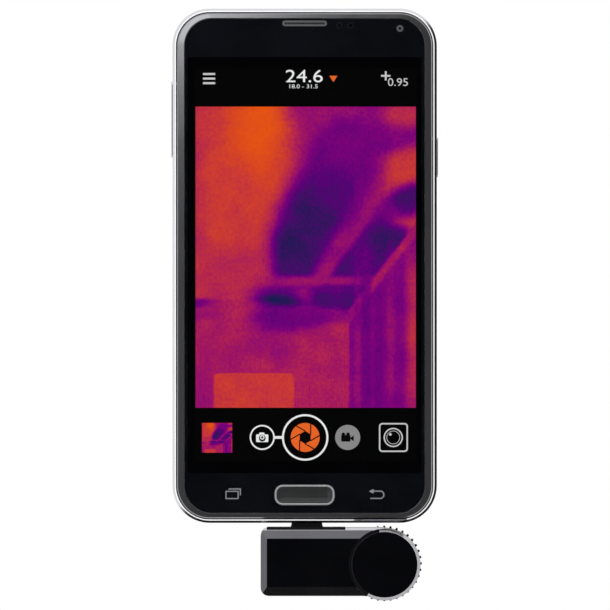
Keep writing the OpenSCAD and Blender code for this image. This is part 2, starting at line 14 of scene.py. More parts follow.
import bmesh
import bpy
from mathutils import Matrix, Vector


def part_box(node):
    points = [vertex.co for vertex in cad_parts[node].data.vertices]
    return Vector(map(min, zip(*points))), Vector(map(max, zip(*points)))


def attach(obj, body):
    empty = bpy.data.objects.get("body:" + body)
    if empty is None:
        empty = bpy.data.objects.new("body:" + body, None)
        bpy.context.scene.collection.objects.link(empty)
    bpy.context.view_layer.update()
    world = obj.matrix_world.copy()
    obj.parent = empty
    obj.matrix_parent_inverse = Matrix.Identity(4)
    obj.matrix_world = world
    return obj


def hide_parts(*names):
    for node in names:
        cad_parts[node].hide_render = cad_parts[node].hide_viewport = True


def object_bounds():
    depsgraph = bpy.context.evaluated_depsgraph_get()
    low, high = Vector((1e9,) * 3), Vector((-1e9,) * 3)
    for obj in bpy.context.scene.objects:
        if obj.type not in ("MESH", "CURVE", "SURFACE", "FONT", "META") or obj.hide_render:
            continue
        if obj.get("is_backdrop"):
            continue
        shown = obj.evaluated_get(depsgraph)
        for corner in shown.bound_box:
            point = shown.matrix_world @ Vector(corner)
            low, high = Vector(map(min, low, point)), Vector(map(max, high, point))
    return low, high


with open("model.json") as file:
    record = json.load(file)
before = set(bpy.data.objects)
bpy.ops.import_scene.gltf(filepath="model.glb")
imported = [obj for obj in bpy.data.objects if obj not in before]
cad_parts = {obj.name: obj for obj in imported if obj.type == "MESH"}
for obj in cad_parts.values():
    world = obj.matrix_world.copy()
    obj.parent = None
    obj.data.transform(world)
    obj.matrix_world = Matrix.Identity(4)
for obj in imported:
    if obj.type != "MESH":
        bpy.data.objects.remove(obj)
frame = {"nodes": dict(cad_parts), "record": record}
cad_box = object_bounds()

# %% [markdown]
# ## The camera
# The object is seen straight on. A long lens from three metres keeps the far parts almost as
# large as the near ones, as in a catalogue picture.

# %% Camera
VIEW_WIDTH = 0.1682
VIEW_DISTANCE = 3.0
screen_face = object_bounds()[0][1]
bpy.ops.object.camera_add(
    location=(0.0001, screen_face - VIEW_DISTANCE, -0.01084),
    rotation=(math.radians(90), 0, 0),
)
camera = bpy.context.active_object
camera.name = "camera"
camera.data.sensor_width = 36
camera.data.lens = 36 * VIEW_DISTANCE / VIEW_WIDTH
camera.data.clip_end = 20
bpy.context.scene.camera = camera
print("lens:", round(camera.data.lens), "mm")

# %% [markdown]
# ## Working as at a drawing board
# A flat object is easiest to shape lying down. Each new piece is drawn in millimetres with x to
# the right, y up the handset and z towards the user. When it is finished it is made smaller by
# a thousand and stood up. Small helpers do what the hand would do: select by a rule, cut with
# another shape, soften the edges.

# %% Helpers for selecting and shaping
MM = 0.001
HAIR = 1e-3


def drawn(node):
    """A node's box on the drawing board: ranges of x, y and z in millimetres."""
    low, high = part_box(node)
    return (
        (low[0] / MM, high[0] / MM),
        (low[2] / MM, high[2] / MM),
        (-high[1] / MM, -low[1] / MM),
    )


def take(piece):
    """Makes a piece the only selected object."""
    bpy.ops.object.select_all(action="DESELECT")
    piece.select_set(True)
    bpy.context.view_layer.objects.active = piece


def edit(piece):
    take(piece)
    bpy.ops.object.mode_set(mode="EDIT")


def leave():
    bpy.ops.object.mode_set(mode="OBJECT")


def put(piece, at=(0, 0, 0), turn=(0, 0, 0), size=(1, 1, 1)):
    """Scales, turns (in degrees) and moves a piece, and applies that to its mesh."""
    take(piece)
    piece.scale = size
    piece.rotation_euler = [math.radians(angle) for angle in turn]
    piece.location = at
    bpy.ops.object.transform_apply(location=True, rotation=True, scale=True)
    return piece


def choose(piece, part, rule):
    """Selects the vertices, edges or faces of a piece that follow a rule, in edit mode."""
    bpy.ops.mesh.select_mode(type=part)
    bpy.ops.mesh.select_all(action="DESELECT")
    shape = bmesh.from_edit_mesh(piece.data)
    parts = {"VERT": shape.verts, "EDGE": shape.edges, "FACE": shape.faces}[part]
    count = 0
    for item in parts:
        if rule(item):
            item.select_set(True)
            count += 1
    shape.select_flush_mode()
    bmesh.update_edit_mesh(piece.data)
    return count


def near(a, b, reach=HAIR):
    return abs(a - b) < reach


def upright(edge):
    a, b = (vert.co for vert in edge.verts)
    return near(a.x, b.x) and near(a.y, b.y)


def at_level(z):
    """A rule: every corner of the edge or face lies at height z."""
    return lambda item: all(near(vert.co.z, z) for vert in item.verts)


def round_edges(piece, rule, radius, steps=4):
    """Bevels the edges that follow a rule, in edit mode."""
    choose(piece, "EDGE", rule)
    bpy.ops.mesh.bevel(offset=radius, segments=steps, affect="EDGES", clamp_overlap=True)


# %% Helpers for making blanks
def block(name, x, y, z):
    """A box between two corners, as a blank to shape."""
    bpy.ops.object.select_all(action="DESELECT")
    bpy.ops.mesh.primitive_cube_add(size=1)
    piece = bpy.context.active_object
    piece.name = piece.data.name = name
    middle = [sum(reach) / 2 for reach in (x, y, z)]
    return put(piece, middle, size=[reach[1] - reach[0] for reach in (x, y, z)])


def plate(name, size, corner, z, middle=(0, 0), steps=12):
    """A plate with rounded corners: a box whose upright edges are bevelled."""
    half = (size[0] / 2, size[1] / 2)
    piece = block(
        name,
        (middle[0] - half[0], middle[0] + half[0]),
        (middle[1] - half[1], middle[1] + half[1]),
        z,
    )
    edit(piece)
    round_edges(piece, upright, corner, steps)
    leave()
    return piece


def turned(name, profile, middle=(0, 0), sides=96, hollow=True):
    """Lathe work: a circle is extruded and resized along a profile of (radius, z).

    A hollow profile ends where it began. A solid one has its two end discs filled.
    """
    bpy.ops.object.select_all(action="DESELECT")
    radius, z = profile[0]
    bpy.ops.mesh.primitive_circle_add(vertices=sides, radius=radius, location=(0, 0, z))
    piece = bpy.context.active_object
    piece.name = piece.data.name = name
    put(piece, (0, 0, z))
    edit(piece)
    bpy.ops.mesh.select_all(action="SELECT")
    if not hollow:
        bpy.ops.mesh.edge_face_add()
        choose(piece, "EDGE", at_level(z))
    for next_radius, next_z in profile[1:] + (profile[:1] if hollow else []):
        bpy.ops.mesh.extrude_edges_move(
            TRANSFORM_OT_translate={"value": (0, 0, next_z - z)}
        )
        grow = next_radius / radius
        bpy.ops.transform.resize(value=(grow, grow, 1), center_override=(0, 0, next_z))
        radius, z = next_radius, next_z
    if not hollow:
        bpy.ops.mesh.edge_face_add()
    bpy.ops.mesh.select_all(action="SELECT")
    bpy.ops.mesh.remove_doubles(threshold=1e-4)
    bpy.ops.mesh.normals_make_consistent(inside=False)
    leave()
    return put(piece, (*middle, 0))


def join(name, pieces):
    """Joins several shapes into one piece."""
    take(pieces[0])
    for piece in pieces[1:]:
        piece.select_set(True)
    bpy.ops.object.join()
    piece = bpy.context.active_object
    piece.name = piece.data.name = name
    return piece


# %% Helpers for cutting with another shape
def carve(piece, *tools, how="DIFFERENCE"):
    """Cuts tools out of a piece one by one, or adds them, and throws them away."""
    take(piece)
    for tool in tools:
        change = piece.modifiers.new(how.lower(), "BOOLEAN")
        change.operation = how
        change.solver = "EXACT"
        change.object = tool
        bpy.ops.object.modifier_apply(modifier=change.name)
        bpy.data.objects.remove(tool)


# %% [markdown]
# Two ways to open and to cut come back again and again. Hollowing insets both end faces and
# bridges them, which leaves a clean even wall. Slicing cuts along a plane and closes the cut.

# %% Helpers for hollowing and slicing
def hollow_out(piece, walls, opening=None):
    """Insets the end faces and bridges them into an opening.

    walls gives each end's level, and its wall with the rise of the wall's face. An opening,
    given as a width and a height, stretches the inset faces to its own size.
    """
    edit(piece)
    ends = []
    for z, (wall, rise) in walls.items():
        choose(piece, "FACE", at_level(z))
        bpy.ops.mesh.inset(thickness=wall, depth=rise)
        ends.append(z + rise)
        if opening:
            inner = bmesh.from_edit_mesh(piece.data)
            corners = [v.co for v in max(inner.faces, key=on_level(z + rise)).verts]
            wide = max(c.x for c in corners) - min(c.x for c in corners)
            high = max(c.y for c in corners) - min(c.y for c in corners)
            bpy.ops.transform.resize(
                value=(opening[0] / wide, opening[1] / high, 1), center_override=(0, 0, z)
            )
    shape = bmesh.from_edit_mesh(piece.data)
    bpy.ops.mesh.select_all(action="DESELECT")
    for z in ends:
        max(shape.faces, key=on_level(z)).select_set(True)
    bmesh.update_edit_mesh(piece.data)
    bpy.ops.mesh.bridge_edge_loops()
    bpy.ops.mesh.select_all(action="SELECT")
    bpy.ops.mesh.normals_make_consistent(inside=False)
    leave()


def on_level(z):
    """A measure that is largest for the end face at height z, the one with the most corners."""
    return lambda face: len(face.verts) if at_level(z)(face) else 0


def slope(piece, z, steps):
    """Insets the face at height z again and again, each time raised by its own amount."""
    edit(piece)
    choose(piece, "FACE", at_level(z))
    for width, rise in steps:
        bpy.ops.mesh.inset(thickness=width, depth=rise)
    leave()


def slice_off(piece, point, outward):
    """Cuts away what lies beyond a plane, and closes the cut."""
    size = math.hypot(*outward)
    edit(piece)
    bpy.ops.mesh.select_all(action="SELECT")
    bpy.ops.mesh.bisect(
        plane_co=point,
        plane_no=[part / size for part in outward],
        use_fill=True,
        clear_outer=True,
    )
    leave()


# %% [markdown]
# Real edges are never sharp, so a finished piece gets a small bevel on all of them, and weighted
# normals keep its flat faces flat. Then it is stood up, dressed and hung on its body.

# %% Helpers for finishing a piece
def soften(piece, width, steps=2, angle=32):
    """Rounds every crisp edge a little, and keeps flat faces flat in their shading."""
    take(piece)
    bpy.ops.object.shade_smooth()
    rounding = piece.modifiers.new("rounding", "BEVEL")
    rounding.width = width
    rounding.segments = steps
    rounding.limit_method = "ANGLE"
    rounding.angle_limit = math.radians(angle)
    rounding.use_clamp_overlap = True
    rounding.harden_normals = True
    bpy.ops.object.modifier_apply(modifier=rounding.name)
    flats = piece.modifiers.new("flat faces stay flat", "WEIGHTED_NORMAL")
    flats.mode = "FACE_AREA"
    flats.weight = 100
    bpy.ops.object.modifier_apply(modifier=flats.name)


def stand_up(piece):
    """From the drawing board to the frame: millimetres to metres, and upright."""
    put(piece, turn=(90, 0, 0), size=(MM, MM, MM))


def hand_over(piece, body, slot, nodes=(), look=None):
    """Stands a finished piece up, dresses it, hangs it on its body and hides the solids it
    replaces.
    """
    stand_up(piece)
    piece.data.materials.clear()
    piece.data.materials.append(FINISHES[look or slot])
    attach(piece, body)
    if nodes:
        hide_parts(*nodes)
    print(piece.name, "faces:", len(piece.data.polygons), "rides on", body)


def refinish(piece, look, rule):
    """Gives the faces of a piece that follow a rule a second finish."""
    piece.data.materials.append(FINISHES[look])
    edit(piece)
    count = choose(piece, "FACE", rule)
    piece.active_material_index = len(piece.data.materials) - 1
    bpy.ops.object.material_slot_assign()
    leave()
    print(piece.name, "faces in", look + ":", count)


# %% [markdown]
# ## Finishes
# No real surface is one even colour. A few small effects are shared by all finishes, each built
# once as a node group:
#
# - tone drift: broad, faint changes of colour, as lacquer and moulded plastic have;
# - gloss drift: faint changes of polish, as from handling;
# - grain: the fine height of a surface, stretched one way for brushed metal;
# - bright edges: where corners are rubbed, the surface is a little brighter.

# %% Helpers for nodes
FLOAT, COLOR, VECTOR = "NodeSocketFloat", "NodeSocketColor", "NodeSocketVector"


def fill(tree, made, inputs):
    """Fills a node's inputs, each with another node's output or a plain value."""
    for socket, source in inputs.items():
        if isinstance(source, bpy.types.NodeSocket):
            tree.links.new(source, made.inputs[socket])
        else:
            made.inputs[socket].default_value = source


def node(tree, kind, inputs=None, **settings):
    made = tree.nodes.new("ShaderNode" + kind)
    for key, value in settings.items():
        setattr(made, key, value)
    fill(tree, made, inputs or {})
    return made


def maths(tree, operation, *values):
    return node(tree, "Math", dict(enumerate(values)), operation=operation).outputs[0]


def vectors(tree, operation, *values):
    return node(tree, "VectorMath", dict(enumerate(values)), operation=operation).outputs[0]


def remap(tree, value, from_low, from_high, to_low, to_high, smooth=False):
    kind = "SMOOTHSTEP" if smooth else "LINEAR"
    inputs = dict(enumerate((value, from_low, from_high, to_low, to_high)))
    return node(tree, "MapRange", inputs, interpolation_type=kind).outputs[0]


def mix_colours(tree, factor, first, second):
    inputs = {"Factor": factor, 6: first, 7: second}
    return node(tree, "Mix", inputs, data_type="RGBA").outputs[2]


def colour_ramp(tree, value, stops):
    """Turns a value from 0 to 1 into a colour. A stop is a place and its colour."""
    ramp = node(tree, "ValToRGB", {0: value})
    elements = ramp.color_ramp.elements
    elements[0].color, elements[1].color = stops[0][1], stops[-1][1]
    for spot, colour in stops[1:-1]:
        elements.new(spot).color = colour
    return ramp.outputs[0]


def object_place(tree):
    return node(tree, "TexCoord").outputs["Object"]


def object_noise(tree, scale, detail=3.0, stretch=None):
    spot = object_place(tree)
    if stretch is not None:
        spot = vectors(tree, "MULTIPLY", spot, stretch)
    noise = {"Vector": spot, "Scale": scale, "Detail": detail}
    return node(tree, "TexNoise", noise).outputs[0]


def new_group(name, inputs, output):
    """A node group with named inputs and one output, and its first and last nodes."""
    group = bpy.data.node_groups.new(name, "ShaderNodeTree")
    for socket, kind, value in inputs:
        made = group.interface.new_socket(socket, in_out="INPUT", socket_type=kind)
        if value is not None:
            made.default_value = value
    group.interface.new_socket(output[0], in_out="OUTPUT", socket_type=output[1])
    start = group.nodes.new("NodeGroupInput")
    return group, start.outputs, group.nodes.new("NodeGroupOutput")


# %% [markdown]
# Tone drift and gloss drift work alike: soft noise swings a value a little to either side of the
# one it was given.

# %% Tone and gloss drift
def build_tone_drift():
    group, given, end = new_group(
        "tone_drift",
        [("Colour", COLOR, None), ("Spread", FLOAT, 0.1), ("Scale", FLOAT, 80.0)],
        ("Colour", COLOR),
    )
    low = maths(group, "SUBTRACT", 1.0, given["Spread"])
    high = maths(group, "ADD", 1.0, given["Spread"])
    factor = remap(group, object_noise(group, given["Scale"]), 0.3, 0.7, low, high)
    inputs = {0: given["Colour"], "Scale": factor}
    tinted = node(group, "VectorMath", inputs, operation="SCALE")
    fill(group, end, {0: tinted.outputs[0]})
    return group


def build_gloss_drift():
    group, given, end = new_group(
        "gloss_drift",
        [("Roughness", FLOAT, 0.3), ("Spread", FLOAT, 0.05), ("Scale", FLOAT, 60.0)],
        ("Roughness", FLOAT),
    )
    noise = object_noise(group, given["Scale"], detail=5.0)
    low = maths(group, "SUBTRACT", given["Roughness"], given["Spread"])
    high = maths(group, "ADD", given["Roughness"], given["Spread"])
    fill(group, end, {0: remap(group, noise, 0.3, 0.7, low, high)})
    return group


# %% [markdown]
# Grain is noise used as height. Bright edges need to know where the corners are: a bevel node
# rounds the normal near them, so where it differs from the plain normal there is an edge.

# %% Grain and bright edges
def build_grain():
    group, given, end = new_group(
        "grain",
        [("Scale", FLOAT, 4000.0), ("Stretch", VECTOR, (1.0, 1.0, 1.0))],
        ("Height", FLOAT),
    )
    fill(group, end, {0: object_noise(group, given["Scale"], stretch=given["Stretch"])})
    return group


def build_bright_edges():
    group, given, end = new_group(
        "bright_edges",
        [
            ("Colour", COLOR, None), ("Edge colour", COLOR, None), ("Amount", FLOAT, 0.3),
            ("Radius", FLOAT, 0.0002),
        ],
        ("Colour", COLOR),
    )
    rounded = node(group, "Bevel", {"Radius": given["Radius"]}, samples=4).outputs[0]
    normals = {0: rounded, 1: node(group, "NewGeometry").outputs["Normal"]}
    same = node(group, "VectorMath", normals, operation="DOT_PRODUCT").outputs["Value"]
    corner = remap(group, same, 0.99, 0.8, 0.0, 1.0)
    worn = remap(group, object_noise(group, 900.0), 0.4, 0.6, 0.3, 1.0)
    mask = maths(group, "MULTIPLY", maths(group, "MULTIPLY", corner, worn), given["Amount"])
    fill(group, end, {0: mix_colours(group, mask, given["Colour"], given["Edge colour"])})
    return group


# %% [markdown]
# The back cover is moulded with a grid of small round dents. Every second row is shifted by half
# a step, and its distance from the middle of its own square tells each point how deep it lies.

# %% Dimples
def build_dimples():
    group, given, end = new_group(
        "dimples", [("Pitch", FLOAT, 0.002), ("Share", FLOAT, 0.28)], ("Height", FLOAT)
    )
    spot = node(group, "SeparateXYZ", {0: object_place(group)}).outputs
    across, up = (maths(group, "DIVIDE", spot[axis], given["Pitch"]) for axis in "XZ")
    half_row = maths(group, "MULTIPLY", maths(group, "FLOOR", up), 0.5)
    shifted = maths(group, "ADD", across, half_row)
    sides = [
        maths(group, "SUBTRACT", maths(group, "FRACT", value), 0.5) for value in (shifted, up)
    ]
    squares = [maths(group, "MULTIPLY", side, side) for side in sides]
    distance = maths(group, "SQRT", maths(group, "ADD", *squares))
    soft = maths(group, "MULTIPLY", given["Share"], 0.6)
    fill(group, end, {0: remap(group, distance, soft, given["Share"], 0.0, 1.0, True)})
    return group


EFFECTS = {
    "tone": build_tone_drift(),
    "gloss": build_gloss_drift(),
    "grain": build_grain(),
    "edges": build_bright_edges(),
    "dimples": build_dimples(),
}
print("shared effects:", ", ".join(EFFECTS))

# %% [markdown]
# A finish is a Principled shader fed by those effects. The table gives each finish its colour,
# metal or not, its roughness, how fine its grain is and how deep, in millionths of a metre.
# Values that are the same all over go straight on the shader.

# %% How a finish is made
MICRON = 1e-6


def use(tree, effect, **values):
    """Places a shared effect in a material and returns what it puts out."""
    made = tree.nodes.new("ShaderNodeGroup")
    made.node_tree = EFFECTS[effect]
    fill(tree, made, {socket.replace("_", " "): value for socket, value in values.items()})
    return made.outputs[0]


def new_material(name, **values):
    material = bpy.data.materials.new(name)
    material.use_nodes = True
    tree = material.node_tree
    shader = tree.nodes["Principled BSDF"]
    fill(tree, shader, {socket.replace("_", " "): value for socket, value in values.items()})
    return material, tree, shader


def finish(
    name, colour, metal=0.0, rough=0.4, spread=0.12, gloss_spread=0.04, drift=80.0,
    grain=5000.0, stretch=(1.0, 1.0, 1.0), depth=4, edge=None, edge_amount=0.4, coat=0.0,
    ior=1.5, dimples=0.0,
):
    material, tree, shader = new_material(
        name, Metallic=metal, IOR=ior, Coat_Weight=coat, Coat_Roughness=0.06
    )
    base = use(tree, "tone", Colour=(*colour, 1.0), Spread=spread, Scale=drift)
    if edge:
        base = use(tree, "edges", Colour=base, Edge_colour=(*edge, 1.0), Amount=edge_amount)
    gloss = use(tree, "gloss", Roughness=rough, Spread=gloss_spread, Scale=drift * 0.8)
    height = use(tree, "grain", Scale=grain, Stretch=stretch)
    if dimples:
        dents = use(tree, "dimples", Pitch=dimples, Share=0.26)
        height = maths(tree, "ADD", maths(tree, "MULTIPLY", height, 0.03), dents)
    bump = node(tree, "Bump", {"Strength": 0.5, "Distance": depth * MICRON, "Height": height})
    fill(tree, shader, {"Base Color": base, "Roughness": gloss, "Normal": bump.outputs[0]})
    return material


# %% Table of finishes
PALE = (0.8, 0.8, 0.82)
FINISH_TABLE = {
    "back_plastic": dict(
        colour=(0.022, 0.023, 0.027), rough=0.42, depth=120, dimples=0.0019,
        edge=(0.06, 0.06, 0.07),
    ),
    "bright_band": dict(
        colour=(0.78, 0.79, 0.81), metal=1.0, rough=0.07, spread=0.03, gloss_spread=0.02,
        grain=9000.0, depth=0.8,
    ),
    # A brighter, partly diffuse copy of the band's chrome: the painted highlight line on its
    # slope.
    "painted_highlight_line": dict(
        colour=(0.92, 0.92, 0.94), metal=0.75, rough=0.1, spread=0.03, gloss_spread=0.02,
        depth=0.8,
    ),
    "bezel_lacquer": dict(
        colour=(0.33, 0.33, 0.345), metal=1.0, rough=0.2, spread=0.06, gloss_spread=0.03,
        grain=14000.0, depth=1, edge=(0.5, 0.5, 0.52),
    ),
    "side_key_chrome": dict(
        colour=(0.7, 0.71, 0.73), metal=1.0, rough=0.12, spread=0.04, depth=1,
    ),
    "bright_trim": dict(colour=(0.68, 0.69, 0.7), metal=0.35, rough=0.3, spread=0.04, depth=1),
    "key_lacquer": dict(
        colour=(0.3, 0.31, 0.31), metal=1.0, rough=0.3, spread=0.05, grain=9000.0, depth=1.5,
    ),
    "grille_steel": dict(
        colour=(0.3, 0.3, 0.31), metal=0.4, rough=0.45, grain=6000.0, stretch=(0.1, 1.0, 1.0),
        depth=3,
    ),
    "camera_black": dict(colour=(0.012, 0.012, 0.014), rough=0.12, spread=0.2, depth=1),
    "head_black": dict(
        colour=(0.14, 0.14, 0.152), metal=1.0, rough=0.13, spread=0.06, gloss_spread=0.02,
        grain=7000.0, depth=1, edge=(0.3, 0.3, 0.32), edge_amount=0.2,
    ),
    "head_satin": dict(
        colour=(0.07, 0.07, 0.077), metal=1.0, rough=0.33, spread=0.08, grain=7000.0, depth=4,
        edge=(0.3, 0.3, 0.32), edge_amount=0.3,
    ),
    # A bright metal that stands in for light: the painted highlight on the head's lip and on the
    # cap's cone.
    "painted_highlight_metal": dict(
        colour=(0.62, 0.62, 0.65), metal=1.0, rough=0.14, spread=0.04, grain=4000.0,
        stretch=(1.0, 6.0, 1.0), depth=1,
    ),
    "plate_rubber": dict(
        colour=(0.004, 0.004, 0.004), rough=0.55, spread=0.3, grain=9000.0, depth=10,
        edge=(0.03, 0.03, 0.03),
    ),
    "connector_black": dict(colour=(0.006, 0.006, 0.007), rough=0.4, spread=0.25, depth=4),
    "plug_steel": dict(
        colour=(0.62, 0.63, 0.65), metal=1.0, rough=0.25, grain=5000.0, stretch=(1.0, 1.0, 0.12),
        depth=2, edge=PALE,
    ),
    "contact_gold": dict(colour=(0.83, 0.6, 0.22), metal=1.0, rough=0.22, depth=1),
    "ring_black": dict(
        colour=(0.008, 0.008, 0.010), rough=0.36, spread=0.2, grain=5500.0, depth=6,
        edge=(0.07, 0.07, 0.08), edge_amount=0.5,
    ),
    "barrel_alloy": dict(
        colour=(0.06, 0.062, 0.07), metal=0.9, rough=0.3, grain=3000.0, stretch=(1.0, 8.0, 1.0),
        depth=2, edge=(0.5, 0.5, 0.52),
    ),
    "retainer_black": dict(
        colour=(0.02, 0.02, 0.024), metal=0.7, rough=0.35, grain=3500.0, depth=2,
        edge=(0.3, 0.3, 0.32),
    ),
    "cell_alloy": dict(
        colour=(0.03, 0.031, 0.036), metal=0.8, rough=0.42, grain=3500.0, depth=3,
        edge=(0.3, 0.3, 0.32),
    ),
    "infrared_lens": dict(
        colour=(0.26, 0.25, 0.3), metal=0.85, rough=0.04, spread=0.1, gloss_spread=0.015,
        drift=120.0, grain=600.0, depth=0.2, coat=0.6,
    ),
    "infrared_window": dict(colour=(0.2, 0.2, 0.25), metal=0.85, rough=0.06, gloss_spread=0.02),
    "trim_alloy": dict(
        colour=(0.42, 0.43, 0.45), metal=1.0, rough=0.25, grain=3000.0, stretch=(1.0, 5.0, 1.0),
        depth=2, edge=PALE,
    ),
    "flash_lens": dict(colour=(0.75, 0.7, 0.5), rough=0.12, spread=0.08, depth=2, coat=0.5),
    "chassis_alloy": dict(
        colour=(0.42, 0.43, 0.45), metal=0.9, rough=0.5, grain=2500.0, depth=20, edge=PALE,
    ),
    "spreader_alloy": dict(
        colour=(0.6, 0.61, 0.63), metal=1.0, rough=0.35, grain=2500.0, stretch=(8.0, 1.0, 1.0),
        depth=3, edge=PALE,
    ),
    "switch_dome": dict(colour=(0.7, 0.52, 0.25), metal=1.0, rough=0.3),
    "switch_steel": dict(colour=(0.6, 0.6, 0.62), metal=1.0, rough=0.32, edge=PALE),
    "shield_steel": dict(
        colour=(0.6, 0.61, 0.62), metal=1.0, rough=0.38, spread=0.08, grain=2000.0,
        stretch=(0.15, 1.0, 1.0), depth=4, edge=PALE,
    ),
    "port_steel": dict(
        colour=(0.58, 0.59, 0.6), metal=1.0, rough=0.3, spread=0.08, grain=4000.0,
        stretch=(1.0, 1.0, 0.15), depth=3, edge=PALE,
    ),
    "screw_steel": dict(colour=(0.16, 0.16, 0.17), metal=1.0, rough=0.35, edge=PALE),
    "weight_metal": dict(colour=(0.3, 0.3, 0.32), metal=0.9, rough=0.5, depth=10, edge=PALE),
    "blade_steel": dict(
        colour=(0.45, 0.45, 0.47), metal=1.0, rough=0.4, stretch=(0.15, 1.0, 1.0), edge=PALE,
    ),
    "module_black": dict(colour=(0.02, 0.02, 0.022), rough=0.5, spread=0.2),
    "battery_wrap": dict(colour=(0.05, 0.052, 0.058), rough=0.45, spread=0.15, depth=20),
    "chip_black": dict(colour=(0.016, 0.016, 0.018), rough=0.55, spread=0.25),
    "gasket_rubber": dict(colour=(0.02, 0.02, 0.02), rough=0.75, spread=0.2, depth=10),
    "washer_black": dict(colour=(0.02, 0.02, 0.022), rough=0.6, spread=0.2),
    "actuator_brown": dict(
        colour=(0.25, 0.09, 0.04), rough=0.4, grain=9000.0, stretch=(0.1, 1.0, 0.1), depth=30,
    ),
    "sensor_ceramic": dict(colour=(0.5, 0.45, 0.34), rough=0.6, spread=0.1, depth=10),
    "border_ink": dict(colour=(0.0115, 0.0128, 0.0175), rough=0.5, spread=0.2, ior=1.0),
    "eye_grey": dict(colour=(0.3, 0.31, 0.32), rough=0.5),
    # Flat black with almost no gloss: painted shade on the cap's cone where it meets the block.
    "painted_shade_cone": dict(colour=(0.006, 0.006, 0.008), rough=0.5, ior=1.12),
}
FINISHES = {name: finish(name, **values) for name, values in FINISH_TABLE.items()}
print("finishes:", len(FINISHES))


# %% [markdown]
# Circuit boards need one more touch: copper tracks show as faint lines under the green lacquer.
# A brick pattern of long thin bricks gives lines that run and stop as tracks do.

# %% Circuit board finish
def circuit_board():
    material = finish("circuit_board", (0.012, 0.075, 0.035), rough=0.35, spread=0.15)
    tree = material.node_tree
    shader = tree.nodes["Principled BSDF"]
    lacquer = shader.inputs["Base Color"].links[0].from_socket
    laid_flat = {0: object_place(tree), "Rotation": (math.radians(90), 0, 0)}
    bricks = {
        "Vector": node(tree, "Mapping", laid_flat).outputs[0], "Scale": 1400.0,
        "Mortar Size": 0.1, "Brick Width": 3.0, "Row Height": 0.5,
    }
    tracks = maths(tree, "MULTIPLY", node(tree, "TexBrick", bricks).outputs["Fac"], 0.5)
    lined = mix_colours(tree, tracks, lacquer, (0.05, 0.22, 0.08, 1.0))
    fill(tree, shader, {"Base Color": lined})
    return material


FINISHES["circuit_board"] = circuit_board()

# %% [markdown]
# ## Glass
# The cover glass is clear, with a hard gloss. The rear camera's window is coated, so it is
# darker. Both have faint smudges: the gloss isn't quite even.

# %% Glass finishes
POLISH = 0.01


def clear_glass(name, tint):
    material, tree, shader = new_material(name, Transmission_Weight=1.0, IOR=1.5)
    colour = use(tree, "tone", Colour=(*tint, 1.0), Spread=0.01, Scale=50.0)
    smudge = use(tree, "gloss", Roughness=POLISH, Spread=POLISH * 0.6, Scale=90.0)
    fill(tree, shader, {"Base Color": colour, "Roughness": smudge})
    return material


FINISHES["cover_glass"] = clear_glass("cover_glass", (0.98, 0.985, 0.99))
FINISHES["camera_window"] = clear_glass("camera_window", (0.25, 0.24, 0.32))

# %% [markdown]
# ## Back cover
# The back of the handset is a moulded dish with a soft rounded edge. A rounded plate gets the
# fillet from one bevel and its hollow from an inset and an extrusion. The openings are cut.

# %% Back cover
def peg(middle, radius, z, sides=48):
    """A round cutter, or a plain pin to shape."""
    bpy.ops.object.select_all(action="DESELECT")
    bpy.ops.mesh.primitive_cylinder_add(vertices=sides, radius=radius, depth=z[1] - z[0])
    return put(bpy.context.active_object, (*middle, sum(z) / 2))


def peg_up(middle, radius, reach, sides=32):
    """A round cutter along the handset; middle holds its x and z."""
    return put(peg((0, 0), radius, reach, sides), (middle[0], 0, middle[1]), (-90, 0, 0))


HANDSET = (73, 142)
OUTLINE_CORNER = 10.3
COVER_RIM = drawn("back_cover")[2][1]
JACK = (sum(drawn("audio_jack")[0]) / 2, 3.4)
JACK_RADIUS = 2.3
REAR_CAMERA, FLASH = (0, 49.5), (0, 40.5)
PORT_MIDDLE = sum(drawn("usb_receptacle")[0]) / 2
LOW_EDGE, HIGH_EDGE = -71, 71

cover = plate("back_cover_shell", HANDSET, OUTLINE_CORNER, (0, COVER_RIM))
edit(cover)
round_edges(cover, at_level(0), 2.6, steps=8)
choose(cover, "FACE", at_level(COVER_RIM))
bpy.ops.mesh.inset(thickness=1)
bpy.ops.mesh.extrude_region_move(TRANSFORM_OT_translate={"value": (0, 0, -1.9)})
leave()


def port_cutter():
    reach = (-LOW_EDGE - 6, -LOW_EDGE + 1)
    return put(
        plate("cutter", (8, 3), 1.2, reach, (PORT_MIDDLE, 3.6), steps=5), turn=(90, 0, 0)
    )


carve(
    cover,
    peg(REAR_CAMERA, 5.95, (-1, 4)),
    peg(FLASH, 1.6, (-1, 4)),
    peg_up(JACK, JACK_RADIUS, (66, HIGH_EDGE + 1)),
    port_cutter(),
)
for y in (-62.7, -60.9, -59.1, -57.3):
    carve(cover, plate("loudspeaker_slot", (7, 0.8), 0.39, (-1, 2), (22, y), steps=4))
soften(cover, 0.12)
hand_over(cover, "handset", "back_plastic", ["back_cover"])

# %% [markdown]
# ## Side band
# The bright band round the edge is a plated plastic ring. Towards the screen it has a crown: a
# steep foot, a slope that catches light as a line, and a round top. Insets with a rise make the
# crown on a plate, and bridging the plate's two faces hollows it. Slots for keys and holes for
# plugs are cut, and last the slope gets a brighter, partly diffuse copy of the chrome: a painted
# highlight line.

# %% Side band
BAND = drawn("side_band")[2]
KEY_LEVEL, KEY_WIDTH, KEY_GAP = 4.4, 1.9, 0.24
POWER_MIDDLE, POWER_LENGTH = 30, 11
VOLUME_MIDDLE, VOLUME_LENGTH = 40.4, 21


def side_bar(name, y, length, width, reach, side, corner=0.94):
    """A rounded bar that stands out sideways: reach is its range away from the middle."""
    bar = plate(name, (length, width), corner, reach, steps=6)
    return put(bar, (0, y, KEY_LEVEL), (90, 0, 90 * side))


